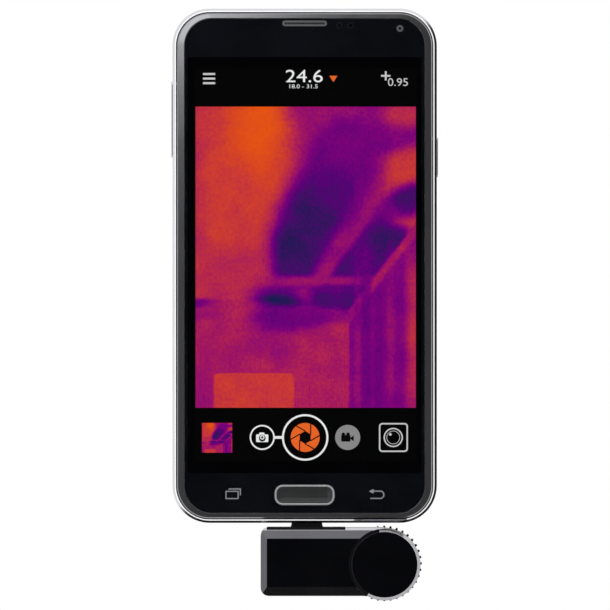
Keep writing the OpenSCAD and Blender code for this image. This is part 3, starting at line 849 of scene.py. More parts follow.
CROWN = [(0.05, 0.4), (0.25, 0.85), (0.36, 0.72), (0.32, 0.24)]
HIGHLIGHT_LINE_DEPTH = 0.25
shoulder = BAND[1] - sum(rise for width, rise in CROWN)
band = plate("side_band_ring", HANDSET, OUTLINE_CORNER, (BAND[0], shoulder), steps=16)
slope(band, shoulder, CROWN)
edit(band)
round_edges(band, at_level(BAND[0]), 0.25, steps=2)
leave()
hollow_out(band, {BAND[0]: (0.9, 0), BAND[1]: (0.13, 0)})
slot_width = KEY_WIDTH + KEY_GAP
carve(
    band,
    side_bar("slot", POWER_MIDDLE, POWER_LENGTH + KEY_GAP, slot_width, (34, 40), 1, 1.06),
    side_bar("slot", VOLUME_MIDDLE, VOLUME_LENGTH + KEY_GAP, slot_width, (34, 40), -1, 1.06),
    peg_up(JACK, JACK_RADIUS, (66, HIGH_EDGE + 1)),
    peg_up((9, 4.6), 0.5, (LOW_EDGE - 1, -68), 24),
    peg_up((6, 4.6), 0.7, (68, HIGH_EDGE + 1), 24),
    port_cutter(),
)
soften(band, 0.04, steps=2, angle=12)
hand_over(band, "handset", "bright_band", ["side_band"])


def on_painted_highlight_line(face):
    high = face.calc_center_median().y < (HIGHLIGHT_LINE_DEPTH - BAND[1]) * MM
    return high and 0.72 < -face.normal.y < 0.9


# The slope's faces get the brighter copy of the chrome: a painted highlight line.
refinish(band, "painted_highlight_line", on_painted_highlight_line)

# %% [markdown]
# ## Front bezel
# The lacquered frame round the glass has a narrow steep step at its outer edge and then slopes
# gently up to the glass. Two insets with a rise make the step and the slope. The opening is
# wider than an even inset gives, so the inset faces are stretched to the size of the glass.

# %% Front bezel
SCREEN_OPENING = (66.5, 136.7)
BEZEL_FOOT, BEZEL_STEP = 5.65, 7.45

bezel = plate("front_bezel_frame", (70.5, 139.5), 9.05, (BEZEL_FOOT, BEZEL_STEP), steps=16)
slope(bezel, BEZEL_STEP, [(0.3, 0.3)])
hollow_out(bezel, {BEZEL_FOOT: (1.4, 0), BEZEL_STEP + 0.3: (1.1, 0.35)}, SCREEN_OPENING)
soften(bezel, 0.06, angle=25)
hand_over(bezel, "handset", "bezel_lacquer", ["front_bezel"])

# %% [markdown]
# ## Cover glass and the black print behind it
# The glass is clear. What looks like black glass is ink printed on its back, with a window for
# the display and small holes for the camera and sensors. So the print is a sheet of its own,
# just behind a clear plate, and the depth of the glass shows at its edges.

# %% Cover glass and print
GLASS_SIZE = (66.3, 136.5)
GLASS = drawn("cover_glass")[2]
HOME_KEY = (0, -63.25)
EAR = (0, 66.88)
EYE = (26.3, 65.5)
SENSORS = ((9.6, 66.3), (12.7, 66.3))
WINDOW = ((-32.2, 32.2), (-57.24, 57.54))
PRINT_LEVEL = (7.212, 7.226)


def key_and_ear_cutters():
    return [
        plate("cut", (16.75, 5.82), 2.42, (7, 9), HOME_KEY, steps=8),
        plate("cut", (12.3, 1.55), 0.77, (7, 9), EAR, steps=8),
    ]


glass = plate("cover_glass_sheet", GLASS_SIZE, 7.6, GLASS, steps=16)
edit(glass)
round_edges(glass, at_level(GLASS[1]), 0.18, steps=3)
leave()
carve(glass, *key_and_ear_cutters())
soften(glass, 0.04)
hand_over(glass, "handset", "cover_glass", ["cover_glass"])

ink = plate("printed_border", (66.1, 136.3), 7.5, PRINT_LEVEL, steps=16)
window_size = [side[1] - side[0] for side in WINDOW]
window_middle = [sum(side) / 2 for side in WINDOW]
window_cut = plate("window", window_size, 0.4, (7, 8), window_middle, steps=3)
holes = [peg(EYE, 0.96, (7, 8))] + [peg(spot, 0.62, (7, 8)) for spot in SENSORS]
carve(ink, *key_and_ear_cutters(), window_cut, *holes)
hand_over(ink, "handset", "cover_glass", look="border_ink")

# %% [markdown]
# ## Home key
# The key is a satin bar with a shallow dish in its top, so its upper half is dark and its lower
# half light. Insets that sink a little each time make the dish. A bright trim runs round it.

# %% Home key and trim
KEY_TOP, TRIM = 8.05, (7, 8.2)
key = plate("home_key_bar", (15.5, 4.57), 1.8, (6.2, KEY_TOP), HOME_KEY)
slope(key, KEY_TOP, [(0.25, -0.02), (0.45, -0.05), (0.5, -0.045), (0.5, -0.03)])
soften(key, 0.08, steps=2, angle=50)
hand_over(key, "home_button", "key_lacquer", ["home_key"])

trim = plate("home_key_rim", (16.5, 5.57), 2.3, TRIM)
hollow_out(trim, {z: (0.5, 0) for z in TRIM})
soften(trim, 0.2, steps=4)
put(trim, (*HOME_KEY, 0))
hand_over(trim, "home_button", "bright_trim", ["home_key_trim"])

# %% [markdown]
# ## Side keys
# The power key and the volume rocker are slim plated bars with rounded faces. A wide bevel on
# the outer edges makes the crown.

# %% Side keys
SIDE_REACH = 36.85


def at_reach(edge):
    return all(near(abs(vert.co.x), SIDE_REACH) for vert in edge.verts)


def side_key(name, y, length, side, foot, body, node_name):
    bar = side_bar(name, y, length, KEY_WIDTH, (foot, SIDE_REACH), side)
    edit(bar)
    choose(bar, "EDGE", at_reach)
    bpy.ops.mesh.bevel(offset=0.3, segments=4, affect="EDGES")
    leave()
    collar = side_bar("collar", y, length + 1.2, 2.3, (foot, foot + 0.35), side, 1.14)
    bar = join(name, [bar, collar])
    soften(bar, 0.05)
    hand_over(bar, body, "side_key_chrome", [node_name])


side_key(
    "power_key_bar", POWER_MIDDLE, POWER_LENGTH, 1, 34.95, "power_button", "power_key"
)
side_key(
    "volume_rocker_bar", VOLUME_MIDDLE, VOLUME_LENGTH, -1, 34.55, "volume_button",
    "volume_rocker",
)

# %% [markdown]
# ## Ear slot, front camera and sensors
# A row of fourteen holes in a small crowned steel strip lets the sound out. Behind the camera's
# hole in the print there is a pale ring round a dark lens, and a hair-thin black ring marks each
# of the two sensor holes.

# %% Ear slot and front camera
strip = plate("ear_grille_strip", (12.2, 1.45), 0.72, (7.2, 7.9), EAR, steps=8)
edit(strip)
round_edges(strip, at_level(7.9), 0.22, steps=3)
leave()
HOLES, PITCH = 14, 0.8
spots = [PITCH * (i - (HOLES - 1) / 2) for i in range(HOLES)]
drills = [peg((x, EAR[1]), 0.36, (7, 8.2), 16) for x in spots]
carve(strip, join("drills", drills))
soften(strip, 0.03)
hand_over(strip, "handset", "grille_steel", ["earpiece_grille"])

eye_ring = turned(
    "front_camera_ring", [(0.95, 6.72), (0.95, 7.12), (0.4, 7.02), (0.36, 6.72)], EYE, 40
)
rims = [
    turned("rim", [(0.8, 7.228), (0.8, 7.234), (0.64, 7.234), (0.64, 7.228)], spot, 32)
    for spot in SENSORS
]
hand_over(join("sensor_rims", rims), "handset", "cover_glass", look="module_black")
hand_over(eye_ring, "handset", "camera_black", look="eye_grey")

# %% [markdown]
# ## Rear camera and flash
# Round parts are turned on a lathe: a circle is extruded along a profile. The trim is a ring
# with rounded lips, the window a thin disc, and the flash has the steps of its plastic lens.

# %% Rear camera and flash
ring_profile = [
    (5.9, 1.2), (5.9, 0.3), (5.7, 0.05), (5.4, 0.0), (5.1, 0.05), (4.85, 0.25), (4.75, 1.2),
]
camera_ring = turned("rear_camera_ring", ring_profile, REAR_CAMERA)
soften(camera_ring, 0.04)
hand_over(camera_ring, "handset", "trim_alloy", ["rear_camera_trim"])

pane_profile = [(4.7, 0.8), (4.7, 0.22), (4.58, 0.1), (0.05, 0.1)]
pane = turned("rear_camera_pane", pane_profile, REAR_CAMERA, hollow=False)
soften(pane, 0.03)
hand_over(pane, "handset", "camera_window", ["rear_camera_window"])

flash_profile = [(1.2, 2.6), (1.2, 1.1), (1.55, 1.1), (1.55, 0.12), (1.45, 0.06)]
for radius in (1.2, 0.9, 0.6, 0.3):
    flash_profile += [(radius, 0.06), (radius - 0.02, 0.16)]
flash = turned("flash_lens_disc", flash_profile + [(0.05, 0.1)], FLASH, 48, hollow=False)
soften(flash, 0.015)
hand_over(flash, "handset", "flash_lens", ["camera_flash"])

# %% [markdown]
# ## The sensor head's shells
# The head is a black anodised shell in two halves, parted at its middle. Towards the user it is
# a block with unequal bevels and a narrow lip along its top, and it runs into a round end. The
# lip is given a bright metal finish, a painted highlight. A block is sliced by a plane for each
# bevel, joined with a drum, and hollowed by cutting the inner shape out of it. The half towards
# the scene has even bevels and four screw wells.

# %% Sensor head shells
LENS = (22.05, -82.45)
HEAD_X = (-12.15, LENS[0])
HEAD_Y = (-91.15, -72.3)
HEAD_MIDDLE = 3.6
HEAD_BACK, HEAD_FRONT = 8.6, -2.6
DRUM = 9.9
SCREW_SPOTS = ((-9.3, -88.4), (-9.3, -75.5), (7.2, -88.4), (8.9, -75.6))


def head_blank(name, z):
    """The head's outline between two heights: only the left corners are rounded."""
    blank = block(name, HEAD_X, HEAD_Y, z)
    edit(blank)
    round_edges(blank, lambda e: upright(e) and near(e.verts[0].co.x, HEAD_X[0]), 2.2, 4)
    leave()
    return blank


def bevel_plane(blank, edge_point, top_point):
    """Slices along a plane through two points seen end on, given as (x, y, z)."""
    x, y, z = (b - a for a, b in zip(edge_point, top_point))
    flat = math.hypot(x, y)
    slice_off(blank, edge_point, (-x / flat * abs(z), -y / flat * abs(z), math.copysign(flat, z)))


def head_hollow(z):
    """The inner space, a little inside the outline."""
    space = block("space", (HEAD_X[0] + 1.1, HEAD_X[1]), (HEAD_Y[0] + 1.1, HEAD_Y[1] - 1.1), z)
    carve(space, peg(LENS, 8.8, (z[0], z[1]), 96), how="UNION")
    return space


def cut_head_top(shell):
    """Openings at the top: the seat of the plate, and the way through for the plug."""
    carve(shell, block("cut", (-10.45, 11.25), (-72.9, -70), (-0.85, 7.5)))
    carve(shell, block("cut", (-3.75, 4.95), (-75, -70), (1.2, 6)))


rear = head_blank("head_rear_shell", (HEAD_MIDDLE, HEAD_BACK))
EDGE_LEVEL, LIP_LEVEL = HEAD_BACK - 1.5, HEAD_BACK - 1.3
lip_inner = (0, HEAD_Y[1] - 0.7, LIP_LEVEL)
bevel_plane(rear, (0, HEAD_Y[1], LIP_LEVEL - 0.4), lip_inner)
bevel_plane(rear, lip_inner, (0, HEAD_Y[1] - 2.85, HEAD_BACK))
bevel_plane(rear, (0, HEAD_Y[0], EDGE_LEVEL), (0, HEAD_Y[0] + 2.5, HEAD_BACK))
bevel_plane(rear, (HEAD_X[0], 0, EDGE_LEVEL), (HEAD_X[0] + 1.7, 0, HEAD_BACK))
carve(rear, peg(LENS, DRUM, (HEAD_MIDDLE, HEAD_BACK), 128), how="UNION")
carve(rear, head_hollow((HEAD_MIDDLE - 1, 7.5)))
carve(rear, peg(LENS, 6.05, (7, 9), 64))
cut_head_top(rear)
soften(rear, 0.1, steps=2, angle=22)
hand_over(rear, "sensor_head", "head_black", ["rear_shell"])


def on_lip_painted_highlight(face):
    level = -face.calc_center_median().y / MM
    facing = face.normal.z > 0.3 and face.normal.y < -0.5
    return facing and LIP_LEVEL - 0.45 < level < LIP_LEVEL


# The lip's faces get the bright metal: a painted highlight.
refinish(rear, "painted_highlight_metal", on_lip_painted_highlight)

front = head_blank("head_front_shell", (HEAD_FRONT, HEAD_MIDDLE - 0.1))
for y, inward in ((HEAD_Y[1], -1), (HEAD_Y[0], 1)):
    bevel_plane(front, (0, y, HEAD_FRONT + 1), (0, y + inward, HEAD_FRONT))
bevel_plane(front, (HEAD_X[0], 0, HEAD_FRONT + 1), (HEAD_X[0] + 1, 0, HEAD_FRONT))
carve(front, peg(LENS, DRUM, (HEAD_FRONT, HEAD_MIDDLE - 0.1), 128), how="UNION")
carve(front, head_hollow((-1.4, HEAD_MIDDLE + 1)))
carve(front, peg(LENS, 7.65, (-3, 0), 96))
carve(front, *[peg(spot, 1.5, (-3, -1.65)) for spot in SCREW_SPOTS])
cut_head_top(front)
soften(front, 0.12, steps=2, angle=22)
hand_over(front, "sensor_head", "head_black", ["front_shell"], "head_satin")

# %% [markdown]
# ## The round cap
# A polished disc closes the round end. Its rim is cut to a steep cone. It is turned, with a
# hair-fine radius at each edge. The cone's faces then get two finishes by where they lie: a
# bright metal as a painted highlight where the cone stands free, and a flat black as painted
# shade where it meets the block.

# %% Round cap
cap_profile = [
    (6, 7.9), (6, HEAD_BACK), (9.86, HEAD_BACK), (9.9, HEAD_BACK + 0.05),
    (9.82, HEAD_BACK + 0.2), (9.17, 9.66), (9.06, 9.78), (8.94, 9.8), (0.05, 9.8),
]
cap = turned("round_cap", cap_profile, LENS, 160, hollow=False)
soften(cap, 0.03, steps=2, angle=25)
hand_over(cap, "sensor_head", "head_black", ["rear_cap"])

# Past these x the cone gets the painted highlight; short of them it gets painted shade.
PAINTED_HIGHLIGHT_FROM_BELOW, PAINTED_HIGHLIGHT_FROM_ABOVE = 17.5, 20.5


def on_cone(face):
    above = face.calc_center_median().y < -(HEAD_BACK + 0.02) * MM
    return above and -0.9 < face.normal.y < -0.2


def in_painted_highlight(face):
    """The painted highlight starts further round at the top, where the block runs into the cap.
    Short of it the cone gets painted shade.
    """
    spot = face.calc_center_median()
    start = PAINTED_HIGHLIGHT_FROM_BELOW if spot.z < LENS[1] * MM else PAINTED_HIGHLIGHT_FROM_ABOVE
    return spot.x > start * MM


# Lit and shaded copies on one turned cone: painted highlight where it stands free, painted shade
# by the block.
refinish(cap, "painted_highlight_metal", lambda face: on_cone(face) and in_painted_highlight(face))
refinish(cap, "painted_shade_cone", lambda face: on_cone(face) and not in_painted_highlight(face))

# %% [markdown]
# ## Plug and its seat
# A rubber plate on top of the head touches the handset. The moulded boss rises from it with a
# flared foot, and holds the metal plug. The plug is a plate hollowed from end to end and laid
# along the handset.

# %% Plug and its seat
PLUG = (0.6, 3.6)
BOSS = (72.1, 74.7)
BOSS_WIDTH, BOSS_FOOT = 8.94, 8.5
seat = block("top_pad", (-10.4, 11.2), (-72.9, -72.15), (-0.8, 7))
carve(seat, block("cut", (-3.7, 4.9), (-74, -70), (1.25, 5.95)))
soften(seat, 0.08)
hand_over(seat, "sensor_head", "plate_rubber", ["top_plate"])

boss = plate("plug_boss_block", (BOSS_WIDTH, 4.6), 0.5, BOSS, PLUG, steps=5)
edit(boss)
choose(boss, "FACE", at_level(BOSS[0]))
bpy.ops.mesh.extrude_region_move(TRANSFORM_OT_translate={"value": (0, 0, -0.75)})
bpy.ops.transform.resize(
    value=(BOSS_FOOT / BOSS_WIDTH, 1, 1), center_override=(*PLUG, BOSS[0] - 0.75)
)
bpy.ops.mesh.extrude_region_move(TRANSFORM_OT_translate={"value": (0, 0, -0.3)})
leave()
carve(boss, plate("cut", (6.9, 1.85), 0.45, (70, 76), PLUG, steps=4))
soften(put(boss, turn=(90, 0, 0)), 0.08)
hand_over(boss, "sensor_head", "connector_black", ["plug_boss"])

PLUG_REACH = (65.9, 76)
shell = plate("plug_metal", (6.85, 1.8), 0.42, PLUG_REACH, steps=5)
hollow_out(shell, {z: (0.25, 0) for z in PLUG_REACH})
put(shell, (*PLUG, 0))
soften(put(shell, turn=(90, 0, 0)), 0.05)
hand_over(shell, "sensor_head", "plug_steel", ["plug_shell"])

# %% [markdown]
# ## Focus ring
# Thirty-six rounded ribs stand round a turned ring, so that a thumb can turn it. One rib is
# modelled, copied round the axis and joined to the ring.

# %% Focus ring
ring_profile = [
    (9.7, -3), (9.85, -3.15), (9.85, -9.95), (9.6, -10.2), (9.3, -10.2), (8.4, -9.5),
    (8.4, -8.8), (7.66, -8.8), (7.66, -7.6), (8.15, -7.6), (8.15, -4.8), (7.66, -4.8),
    (7.66, -3),
]
RIBS, RIB_TIP = 36, 10.45
body_of_ring = turned("ring", ring_profile, LENS, 144)
ribs = []
for step in range(RIBS):
    rib = block("rib", (9.75, RIB_TIP), (-0.3, 0.3), (-9.75, -3.25))
    edit(rib)
    round_edges(rib, lambda e: all(near(v.co.x, RIB_TIP) for v in e.verts), 0.26, 3)
    leave()
    ribs.append(put(rib, (*LENS, 0), (0, 0, 360 / RIBS * step)))
focus = join("focus_ring_body", [body_of_ring] + ribs)
soften(focus, 0.05, angle=40)
hand_over(focus, "focus_grip", "ring_black", ["focus_ring"])

# %% [markdown]
# ## Lens
# The barrel, its retaining ring and the lens cell are turned. The lenses are germanium: opaque
# to the eye, grey and mirror-like, with a shallow dome towards the scene.

# %% Lens barrel and cell
barrel_profile = [
    (7.05, -9.4), (7.2, -9.25), (7.2, -8.85), (7.6, -8.85), (7.6, -1.4), (8.6, -1.4),
    (8.6, -0.5), (6.65, -0.5), (6.65, -9.2), (6.8, -9.4),
]
barrel = turned("lens_barrel_tube", barrel_profile, LENS)
pin_slot = block(
    "cut", (LENS[0] - 0.5, LENS[0] + 0.5), (LENS[1] + 5, LENS[1] + 9), (-7.55, -4.85)
)
carve(barrel, pin_slot)
soften(barrel, 0.05)
hand_over(barrel, "sensor_head", "barrel_alloy", ["lens_barrel"])

retainer_profile = [(8.3, -9.4), (8.3, -8.9), (7.22, -8.9), (7.22, -9.4)]
retainer = turned("focus_ring_retainer", retainer_profile, LENS)
for x in (LENS[0] - 7.9, LENS[0] + 7.9):
    notch = block("cut", (x - 0.5, x + 0.5), (LENS[1] - 0.4, LENS[1] + 0.4), (-10, -9.15))
    carve(retainer, notch)
soften(retainer, 0.06)
hand_over(retainer, "sensor_head", "retainer_black", ["ring_retainer"])

cell_profile = [
    (6.4, -8.9), (6.55, -8.75), (6.55, -3.6), (3.7, -3.6), (3.7, -6), (5.5, -6),
    (5.5, -8.3), (6.05, -8.9),
]
cell = turned("lens_cell_tube", cell_profile, LENS)
carve(cell, peg_up((LENS[0], -6.2), 0.47, (LENS[1], LENS[1] + 8)))
soften(cell, 0.05)
hand_over(cell, "lens_group", "cell_alloy", ["lens_cell"])

BALL, LENS_FRONT = 17, -8.65
dome = [(5.4, -6.05)]
for radius in (5.4, 5.0, 4.5, 4.0, 3.4, 2.8, 2.2, 1.6, 1.0, 0.5, 0.06):
    dome.append((radius, LENS_FRONT + BALL - math.sqrt(BALL**2 - radius**2)))
front_lens = turned("front_lens_dome", dome, LENS, hollow=False)
soften(front_lens, 0.04, angle=40)
hand_over(front_lens, "lens_group", "infrared_lens", ["front_lens"])

lock_profile = [(5.45, -8), (5.45, -8.9), (5.2, -8.9), (4.75, -8.3), (4.75, -8)]
lock = turned("lens_lock_ring", lock_profile, LENS)
for y in (LENS[1] - 5.3, LENS[1] + 5.3):
    notch = block("cut", (LENS[0] - 0.45, LENS[0] + 0.45), (y - 0.35, y + 0.35), (-9, -8.6))
    carve(lock, notch)
soften(lock, 0.04)
hand_over(lock, "lens_group", "retainer_black", ["lens_retainer"])

# %% [markdown]
# ## The lit display
# The display is a real piece that gives off light. Its picture is the heat picture of a room's
# corner: warm colours where it is warm, violet and navy where it is cold. It is painted by
# layers. A heat field starts at an even warmth, soft patches raise or lower it, and a colour
# scale turns heat into colour, as the instrument itself does.

# %% Heat patches
def srgb(red, green, blue):
    """A display colour, 0 to 255, as the linear values that a shader works in."""
    def linear(value):
        value /= 255
        return value / 12.92 if value <= 0.04045 else ((value + 0.055) / 1.055) ** 2.4
    return (linear(red), linear(green), linear(blue), 1.0)


def build_heat_patch():
    """Draws the heat towards a level inside a turned round or squarish patch."""
    group, given, end = new_group(
        "heat_patch",
        [
            ("Heat", FLOAT, 0.5), ("Place", VECTOR, None), ("Centre", VECTOR, None),
            ("Size", VECTOR, (10.0, 10.0, 1.0)), ("Turn", FLOAT, 0.0),
            ("Softness", FLOAT, 0.3), ("Level", FLOAT, 0.5), ("Squareness", FLOAT, 2.0),
        ],
        ("Heat", FLOAT),
    )
    turn_back = {
        "Vector": vectors(group, "SUBTRACT", given["Place"], given["Centre"]),
        "Angle": maths(group, "MULTIPLY", given["Turn"], -1.0),
    }
    level = node(group, "VectorRotate", turn_back, rotation_type="Z_AXIS").outputs[0]
    split = node(group, "SeparateXYZ", {0: vectors(group, "DIVIDE", level, given["Size"])})
    powers = [
        maths(group, "POWER", maths(group, "ABSOLUTE", split.outputs[i]), given["Squareness"])
        for i in (0, 1)
    ]
    root = maths(group, "DIVIDE", 1.0, given["Squareness"])
    distance = maths(group, "POWER", maths(group, "ADD", *powers), root)
    outer = maths(group, "ADD", 1.0, given["Softness"])
    inner = maths(group, "SUBTRACT", 1.0, given["Softness"])
    mask = remap(group, distance, inner, outer, 1.0, 0.0, True)
    change = maths(group, "SUBTRACT", given["Level"], given["Heat"])
    heat = maths(group, "ADD", given["Heat"], maths(group, "MULTIPLY", mask, change))
    fill(group, end, {0: heat})
    return group


EFFECTS["heat_patch"] = build_heat_patch()

# %% [markdown]
# The patches are listed from back to front. Each has its middle and half size as shares of the
# picture, counted from the top left, its turn in degrees, its softness, its heat and how square
# it is. They follow what is seen: warm wall at the left, cold window reveals in the middle and
# at the right, a cold line along the ceiling edge, and a warm patch at the foot.

# %% The room in heat
PICTURE = ((-30.1, 30.7), (-39.2, 43.9))
THUMBNAIL = ((-28.34, -19.99), (-51.6, -43.37))
BASE_HEAT = 0.64
SLANT = -37.6
PATCHES = (
    ((0.2, 0.3), (0.36, 0.42), 0, 0.5, 0.72, 2),
    ((0.2, 0.25), (0.16, 0.22), 0, 0.8, 0.76, 2),
    ((0.18, 0.56), (0.24, 0.1), 0, 0.8, 0.63, 2),
    ((0.29, 0.03), (0.11, 0.16), 0, 0.9, 0.97, 2),
    ((0, 0.3), (0.05, 0.5), 0, 0.9, 0.66, 4),
    ((0.8, 0.03), (0.32, 0.16), 0, 0.45, 0.4, 3),
    ((0.95, 0.02), (0.1, 0.045), 0, 0.7, 0.62, 2),
    ((0.62, 0), (0.15, 0.06), 0, 0.9, 0.5, 2),
    ((0.93, 0.222), (0.16, 0.07), 28, 0.4, 0.72, 2.5),
    ((0.82, 0.32), (0.11, 0.06), 45, 0.6, 0.64, 2),
    ((0.59, 0.32), (0.19, 0.27), -27, 0.35, 0.34, 2.6),
    ((0.66, 0.14), (0.09, 0.1), -27, 0.6, 0.36, 2),
    ((0.53, 0.37), (0.115, 0.15), -24, 0.45, 0.14, 3),
    ((0.45, 0.5), (0.09, 0.08), -6, 0.45, 0.13, 4),
    ((0.63, 0.28), (0.08, 0.08), -27, 0.6, 0.24, 2),
    ((0.66, 0.45), (0.03, 0.11), -37, 0.8, 0.45, 2),
    ((0.98, 0.31), (0.12, 0.05), 18, 0.6, 0.17, 2),
    ((0.85, 0.36), (0.07, 0.035), 30, 0.7, 0.38, 2),
    ((0.735, 0.54), (0.088, 0.185), SLANT, 0.22, 0.22, 5),
    ((0.6, 0.54), (0.025, 0.04), SLANT, 0.9, 0.53, 2),
    ((0.87, 0.445), (0.1, 0.045), 0, 0.6, 0.16, 3),
    ((0.5, 0.635), (0.24, 0.042), 0, 0.4, 0.3, 3.5),
    ((0.58, 0.578), (0.23, 0.014), 0, 0.8, 0.5, 4),
    ((0.63, 0.645), (0.11, 0.03), 0, 0.6, 0.2, 3),
    ((0.49, 0.625), (0.035, 0.028), 0, 0.9, 0.44, 2),
    ((0.37, 0.655), (0.095, 0.026), 0, 0.8, 0.0, 2),
    ((1.1625, 0.708), (0.395, 0.72), SLANT, 0.02, 0.39, 12),
    ((0.862, 0.54), (0.017, 0.235), SLANT, 0.7, 0.56, 6),
    ((0.775, 0.86), (0.02, 0.3), 0, 0.8, 0.32, 4),
    ((0.735, 0.86), (0.014, 0.25), 0, 0.8, 0.45, 4),
    ((0.83, 0.86), (0.016, 0.2), 0, 0.8, 0.33, 4),
    ((0.885, 0.8), (0.016, 0.25), 0, 0.8, 0.47, 4),
    ((1.0, 0.76), (0.04, 0.25), 0, 0.7, 0.64, 5),
    ((0.245, 0.9375), (0.452, 0.2625), 0, 0.015, 0.57, 16),
    ((0.1, 0.71), (0.2, 0.06), 0, 0.8, 0.57, 2.5),
    ((0.5, 0.695), (0.2, 0.026), 0, 0.6, 0.39, 3),
    ((0.42, 0.705), (0.15, 0.045), 0, 0.6, 0.33, 2.5),
    ((0.33, 0.8), (0.14, 0.04), 0, 0.8, 0.5, 2),
    ((0.03, 0.93), (0.05, 0.1), 0, 0.8, 0.5, 2),
    ((0.575, 0.88), (0.11, 0.14), 0, 0.25, 0.58, 6),
    ((0.02, 0.655), (0.075, 0.014), 0, 0.8, 0.22, 2),
    ((0.02, 0.69), (0.07, 0.018), 0, 0.8, 0.48, 2),
    ((0.16, 0.662), (0.13, 0.016), 0, 0.9, 0.56, 3),
    ((0.265, 0.96), (0.182, 0.075), 0, 0.03, 0.73, 14),
)
COLOUR_SCALE = (
    (0.0, (9, 30, 80)),
    (0.12, (50, 20, 95)),
    (0.25, (90, 0, 120)),
    (0.4, (130, 0, 125)),
    (0.55, (168, 22, 98)),
    (0.68, (198, 48, 66)),
    (0.82, (222, 70, 36)),
    (1.0, (240, 90, 12)),
)
print("heat patches:", len(PATCHES))


# %% [markdown]
# The material asks of each point whether it is in the picture, in the thumbnail or in the dark
# ground round them, works out its heat, and lets a colour scale turn that into light.

# %% The display's material
PICTURE_SIZE = [side[1] - side[0] for side in PICTURE]
APP_AREA = ((-30.4, 31.0), (-54, 54.5))
GLOW = {"IOR": 1.0, "Base_Color": (0.0005, 0.0005, 0.0005, 1.0), "Emission_Strength": 1.0}


def inside(tree, spot, x, y):
    """1 inside a rectangle, in millimetres, and 0 outside it."""
    tests = [
        maths(tree, test, spot[i], side[end])
        for i, side in ((0, x), (1, y))
        for end, test in ((0, "GREATER_THAN"), (1, "LESS_THAN"))
    ]
    while len(tests) > 1:
        tests = [maths(tree, "MULTIPLY", tests[0], tests[1])] + tests[2:]
    return tests[0]


def picture_place(tree, spot, in_thumbnail):
    """Where a point lies on the heat picture; the thumbnail is the same picture, small."""
    steps = []
    for i, size in enumerate(PICTURE_SIZE):
        small = remap(tree, spot[i], *THUMBNAIL[i], 0.0, 1.0)
        large = remap(tree, spot[i], *PICTURE[i], 0.0, 1.0)
        part = maths(tree, "MULTIPLY", in_thumbnail, maths(tree, "SUBTRACT", small, large))
        steps.append(maths(tree, "MULTIPLY", maths(tree, "ADD", large, part), size))
    return node(tree, "CombineXYZ", dict(enumerate(steps))).outputs[0]


def heat_field(tree, place):
    """The patches over an even warmth, then fine speckle, broad drift and faint stripes."""
    wide, high = PICTURE_SIZE
    heat = BASE_HEAT
    for (u, v), half, turn, soft, level, square in PATCHES:
        heat = use(
            tree, "heat_patch", Heat=heat, Place=place, Centre=(u * wide, (1 - v) * high, 0),
            Size=(half[0] * wide, half[1] * high, 1), Turn=math.radians(turn),
            Softness=soft, Level=level, Squareness=square,
        )
    speckle = node(tree, "TexNoise", {"Vector": place, "Scale": 1.1, "Detail": 4.0})
    broad = node(tree, "TexNoise", {"Vector": place, "Scale": 0.12})
    for noise in (speckle, broad):
        unevenness = remap(tree, noise.outputs[0], 0.2, 0.8, -0.07, 0.07)
        heat = maths(tree, "ADD", heat, unevenness)
    waves = node(tree, "TexWave", {"Vector": place, "Scale": 0.42}, bands_direction="X")
    stripes = remap(tree, waves.outputs["Fac"], 0, 1, -0.012, 0.012)
    return maths(tree, "ADD", heat, stripes)


def display_material():
    material, tree, shader = new_material("lit_display", **GLOW)
    whole = node(tree, "SeparateXYZ", {0: object_place(tree)}).outputs
    spot = [maths(tree, "DIVIDE", whole[axis], MM) for axis in "XZ"]
    in_picture = inside(tree, spot, *PICTURE)
    in_thumbnail = inside(tree, spot, *THUMBNAIL)
    place = picture_place(tree, spot, in_thumbnail)
    stops = [(level, srgb(*colour)) for level, colour in COLOUR_SCALE]
    coloured = colour_ramp(tree, heat_field(tree, place), stops)
    ground = mix_colours(tree, inside(tree, spot, *APP_AREA), (0, 0, 0, 1), srgb(3, 3, 2))
    lit = maths(tree, "MAXIMUM", in_picture, in_thumbnail)
    fill(tree, shader, {"Emission Color": mix_colours(tree, lit, ground, coloured)})
    return material


FINISHES["display"] = display_material()
panel = plate("display_sheet", (65.6, 117.9), 0.5, (5.7, 7.2), (0, -0.05), steps=3)
soften(panel, 0.05)
hand_over(panel, "handset", "display", ["display_panel"])

# %% [markdown]
# ## Signs on the display
# The signs are drawn by the display, so they give off light too. Each is a hair-thin flat shape
# just above the panel: bars, rings, discs and a few numbers. Dark marks lie one layer higher, and
# the grey signs of the two touch keys are printed on the black border.

# %% Helpers for signs
LIT = (7.2005, 7.204)
DARK = (7.2045, 7.208)
KEY_SIGN = (7.2265, 7.232)


def light_paint(name, colour):
    """Paint that glows, with a faint unevenness as a display's dots give."""
    material, tree, shader = new_material(name, **GLOW)
    glow = use(tree, "tone", Colour=srgb(*colour), Spread=0.05, Scale=4000.0)
    gloss = use(tree, "gloss", Roughness=0.4, Spread=0.05)
    fill(tree, shader, {"Emission Color": glow, "Roughness": gloss})
    return material


def bar(x, y, level=LIT, corner=0.0, turn=0.0):
    """A flat bar; turn is in degrees about its middle."""
    size = (x[1] - x[0], y[1] - y[0])
    piece = block("bar", (-size[0] / 2, size[0] / 2), (-size[1] / 2, size[1] / 2), level)
    if corner:
        edit(piece)
        round_edges(piece, upright, corner, 4)
        leave()
    return put(piece, (sum(x) / 2, sum(y) / 2, 0), (0, 0, turn))


def hoop(middle, radius, width, level=LIT, sides=64):
    inner = radius - width
    profile = [(radius, level[0]), (radius, level[1]), (inner, level[1]), (inner, level[0])]
    return turned("hoop", profile, middle, sides)


def outline(x, y, width, level=LIT, corner=0.4):
    """A hollow rounded rectangle."""
    frame_bar = bar(x, y, level, corner)
    hollow_out(frame_bar, {z: (width, 0) for z in level})
    return frame_bar


def wedge(middle, radius, corners, turn, level=LIT, squash=(1, 1)):
    """A flat polygon with this many corners."""
    return put(
        peg((0, 0), radius, level, corners), (*middle, 0), (0, 0, turn), (*squash, 1)
    )


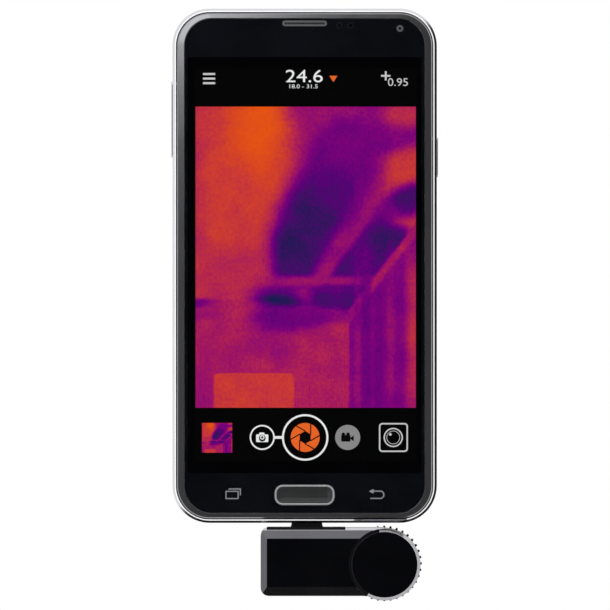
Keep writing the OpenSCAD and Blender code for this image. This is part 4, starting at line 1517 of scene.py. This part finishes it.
def number(text, x, y, level=LIT):
    """A number between two x, with its foot and head at y. Text becomes a mesh first."""
    bpy.ops.object.select_all(action="DESELECT")
    bpy.ops.object.text_add()
    sign = bpy.context.active_object
    sign.data.body = text
    sign.data.extrude = 0.001
    sign.data.resolution_u = 6
    bpy.ops.object.convert(target="MESH")
    sign = bpy.context.active_object
    edit(sign)
    bpy.ops.mesh.select_all(action="SELECT")
    bpy.ops.mesh.remove_doubles(threshold=1e-5)
    leave()
    corners = [vert.co for vert in sign.data.vertices]
    low = [min(c[i] for c in corners) for i in range(3)]
    high = [max(c[i] for c in corners) for i in range(3)]
    target = (x, y, level)
    size = [(t[1] - t[0]) / (b - a) for t, a, b in zip(target, low, high)]
    return put(sign, [t[0] - a * s for t, a, s in zip(target, low, size)], size=size)


# %% Places and colours of the signs
SHUTTER = (0.15, -47.38)
STILL = (-11.7, -47.38)
MOVIE = (11.88, -47.38)
HEXAGON, BLADE_RUN = 1.77, 2.81
GALLERY = (24.45, -47.4)
SIGN_COLOURS = {
    "white": (238, 238, 238),
    "pale": (205, 205, 205),
    "orange": (238, 104, 40),
    "grey": (140, 140, 140),
    "dark": (8, 6, 5),
    "key_grey": (146, 148, 150),
}
for colour, values in SIGN_COLOURS.items():
    FINISHES["sign_" + colour] = light_paint("sign_" + colour, values)

# %% Light signs
SIGNS = {}
SIGNS["white"] = [
    number("24.6", (-5.2, 5.0), (50.6, 54.07)),
    number("18.0 - 31.5", (-4.2, 3.6), (48.95, 50.05)),
    hoop(SHUTTER, 6.41, 0.55, sides=96),
    hoop(STILL, 3.46, 0.42),
    bar((-8.35, -6.2), (-47.75, -47.01)),
    bar((STILL[0] - 1.7, STILL[0] + 1.7), (STILL[1] - 1.3, STILL[1] + 0.85), corner=0.3),
    bar((STILL[0] - 0.8, STILL[0] + 0.6), (STILL[1] + 0.8, STILL[1] + 1.35), corner=0.12),
    hoop(STILL, 0.62, 0.3, (7.2085, 7.2095), 24),
]
menu_bars = ((50.1, 50.66), (51.36, 51.92), (52.62, 53.18))
SIGNS["pale"] = [bar((-28.06, -24.68), y, corner=0.1) for y in reversed(menu_bars)] + [
    bar((21.11, 23.65), (52.15, 52.65)),
    bar((22.13, 22.63), (51.13, 53.67)),
    number("0.95", (22.98, 28.5), (49.6, 51.75)),
    outline((20.5, 28.5), (-51.4, -43.4), 0.4, corner=0.93),
    hoop(GALLERY, 2.66, 0.36),
    hoop(GALLERY, 1.85, 0.14),
    peg((23.65, -46.55), 0.36, LIT, 20),
]
SIGNS["orange"] = [
    wedge((7.93, 51.83), 1.28, 3, 180, squash=(1, 0.9)),
    peg(SHUTTER, 4.0, LIT, 72),
]
SIGNS["grey"] = [peg(MOVIE, 3.46, LIT, 64)]

# %% [markdown]
# The marks on the keys are dark. The shutter's blades are parted by six thin bars round a
# hexagon, each running on from one of its corners.

# %% Dark marks
SIGNS["dark"] = [
    wedge(SHUTTER, HEXAGON, 6, 0, DARK),
    peg((STILL[0], STILL[1] - 0.2), 0.95, DARK, 32),
    bar((MOVIE[0] - 1.8, MOVIE[0] + 0.75), (MOVIE[1] - 1.15, MOVIE[1] + 0.65), DARK, 0.2),
    wedge((MOVIE[0] + 1.3, MOVIE[1] - 0.25), 0.95, 3, 90, DARK, (1, 0.8)),
    peg((MOVIE[0] - 1.2, MOVIE[1] + 0.85), 0.5, DARK, 20),
    peg((MOVIE[0] + 0.1, MOVIE[1] + 0.85), 0.5, DARK, 20),
]
for step in range(6):
    corner = math.radians(60 * step + 30)
    along = corner + math.radians(60)
    x, y = (
        SHUTTER[i] + HEXAGON * wave(corner) + BLADE_RUN / 2 * wave(along)
        for i, wave in ((0, math.cos), (1, math.sin))
    )
    half = BLADE_RUN / 2 + 0.1
    blade = bar((x - half, x + half), (y - 0.16, y + 0.16), DARK, turn=math.degrees(along))
    SIGNS["dark"].append(blade)

# %% Signs of the touch keys
SIGNS["key_grey"] = [
    outline((-21.85, -18.2), (-64.4, -62.1), 0.3, KEY_SIGN, 0.2),
    bar((-21.0, -17.6), (-61.75, -61.45), KEY_SIGN),
    bar((-17.9, -17.6), (-63.4, -61.5), KEY_SIGN),
    bar((18.6, 21.2), (-62.35, -62.05), KEY_SIGN),
    bar((18.1, 21.2), (-64.35, -64.05), KEY_SIGN),
    bar((21.68, 21.98), (-63.75, -62.65), KEY_SIGN),
    bar((20.98, 21.96), (-62.58, -62.28), KEY_SIGN, turn=-45),
    bar((20.98, 21.96), (-64.12, -63.82), KEY_SIGN, turn=45),
    wedge((18.6, -62.25), 0.85, 3, 90, KEY_SIGN, (0.9, 1)),
]
for colour, shapes in SIGNS.items():
    signs = join("signs_" + colour, shapes)
    slot = "cover_glass" if colour == "key_grey" else "display"
    hand_over(signs, "handset", slot, look="sign_" + colour)

# %% [markdown]
# ## Parts inside
# What the casing hides keeps its plain solid, but each gets the finish of its own metal,
# plastic or board, because the sensor head can be unplugged and the part looked into.

# %% Finishes for the plain solids
slot_of = {row["node"]: row["material_slot"] for row in frame["record"]["subparts"]}
for name, solid in frame["nodes"].items():
    if solid.hide_render:
        continue
    solid.data.materials.clear()
    solid.data.materials.append(FINISHES[slot_of[name]])
print("plain solids dressed:", sum(not s.hide_render for s in frame["nodes"].values()))

# %% [markdown]
# ## Floor and light
# The object hangs in white space over a pale floor. Its bright rim and black faces are only as
# good as what they mirror. So the sky's brightness follows the angle from the camera's side: dark
# behind the camera, then steps of white, with one row of steps for the upper left and one for the
# lower right. Two soft cards light the left bezel and its top corner. The camera itself sees
# plain white behind the object.

# %% Floor
bpy.ops.object.select_all(action="DESELECT")
bpy.ops.mesh.primitive_plane_add(size=2, location=(0, 0, -0.125))
floor = bpy.context.active_object
floor.name = "floor"
floor.visible_glossy = False
floor.data.materials.append(finish("pale_floor", (0.85, 0.85, 0.85), rough=0.6, spread=0.01))
floor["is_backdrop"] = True

# %% Sky
scene = bpy.context.scene
scene.view_settings.view_transform = "Standard"
world = bpy.data.worlds.new("studio")
scene.world = world
world.use_nodes = True
sky = world.node_tree
sky.nodes.clear()


def sky_ramp(share, stops):
    """Brightness by the angle from the camera's side, in degrees; a number is a grey."""
    colours = [light if isinstance(light, tuple) else (light,) * 3 for _, light in stops]
    places = [degrees / 180 for degrees, _ in stops]
    return colour_ramp(sky, share, [(spot, (*c, 1)) for spot, c in zip(places, colours)])


way = node(sky, "SeparateXYZ", {0: node(sky, "TexCoord").outputs["Generated"]}).outputs
angle = maths(sky, "ARCCOSINE", maths(sky, "MULTIPLY", way[1], -1))
half_turns = maths(sky, "DIVIDE", angle, 3.14159)
up, right = maths(sky, "MULTIPLY", way[2], 0.75), maths(sky, "MULTIPLY", way[0], 0.66)
upper_left = remap(sky, maths(sky, "SUBTRACT", up, right), -0.12, 0.12, 0.0, 1.0, True)
BEHIND_CAMERA = (0.01, 0.0112, 0.0155)
BRIGHT_STOPS = (
    (0, BEHIND_CAMERA), (6, BEHIND_CAMERA), (8, 0.22), (14, 0.22), (19, 0.12), (45, 0.13),
    (50, 1), (67, 1), (69, 1.35), (78, 1.35), (81, 0.87), (180, 0.85),
)
DARK_STOPS = (
    (0, BEHIND_CAMERA), (6, BEHIND_CAMERA), (8, 0.03), (14, 0.06), (19, 0.11), (45, 0.1),
    (51, 0.03), (67, 0.02), (70, 1.2), (88, 1.2), (100, 0.7), (114, 0.7), (119, 0.02),
    (180, 0.01),
)
bright_side, dark_side = (sky_ramp(half_turns, stops) for stops in (BRIGHT_STOPS, DARK_STOPS))
mirrored = mix_colours(sky, upper_left, dark_side, bright_side)
by_camera = node(sky, "LightPath").outputs["Is Camera Ray"]
seen = mix_colours(sky, by_camera, mirrored, (1, 1, 1, 1))
glow = node(sky, "Background", {"Color": seen})
node(sky, "OutputWorld", {0: glow.outputs[0]})

# %% Reflector cards
def card(name, at, size, power):
    """A soft upright rectangular light that mirrors can see and the camera can't."""
    bpy.ops.object.light_add(type="AREA", location=at, rotation=(math.radians(90), 0, 0))
    light = bpy.context.active_object
    light.name = name
    light.data.shape = "RECTANGLE"
    light.data.size, light.data.size_y = size
    light.data.energy = power
    light.visible_camera = light.visible_diffuse = False
    return light


card("left_card", (-0.14, -0.26, 0.1815), (0.12, 0.237), 0.134)
card("top_card", (-0.047, -0.26, 0.225), (0.066, 0.15), 0.047)

# %% [markdown]
# ## Size
# The looks must not change the object's size. The plain solids' box and the finished pieces'
# box are written side by side for comparison.

# %% Size
sizes = {"cad": cad_box, "visual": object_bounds()}
sizes = {name: [list(corner) for corner in box] for name, box in sizes.items()}
print(sizes)
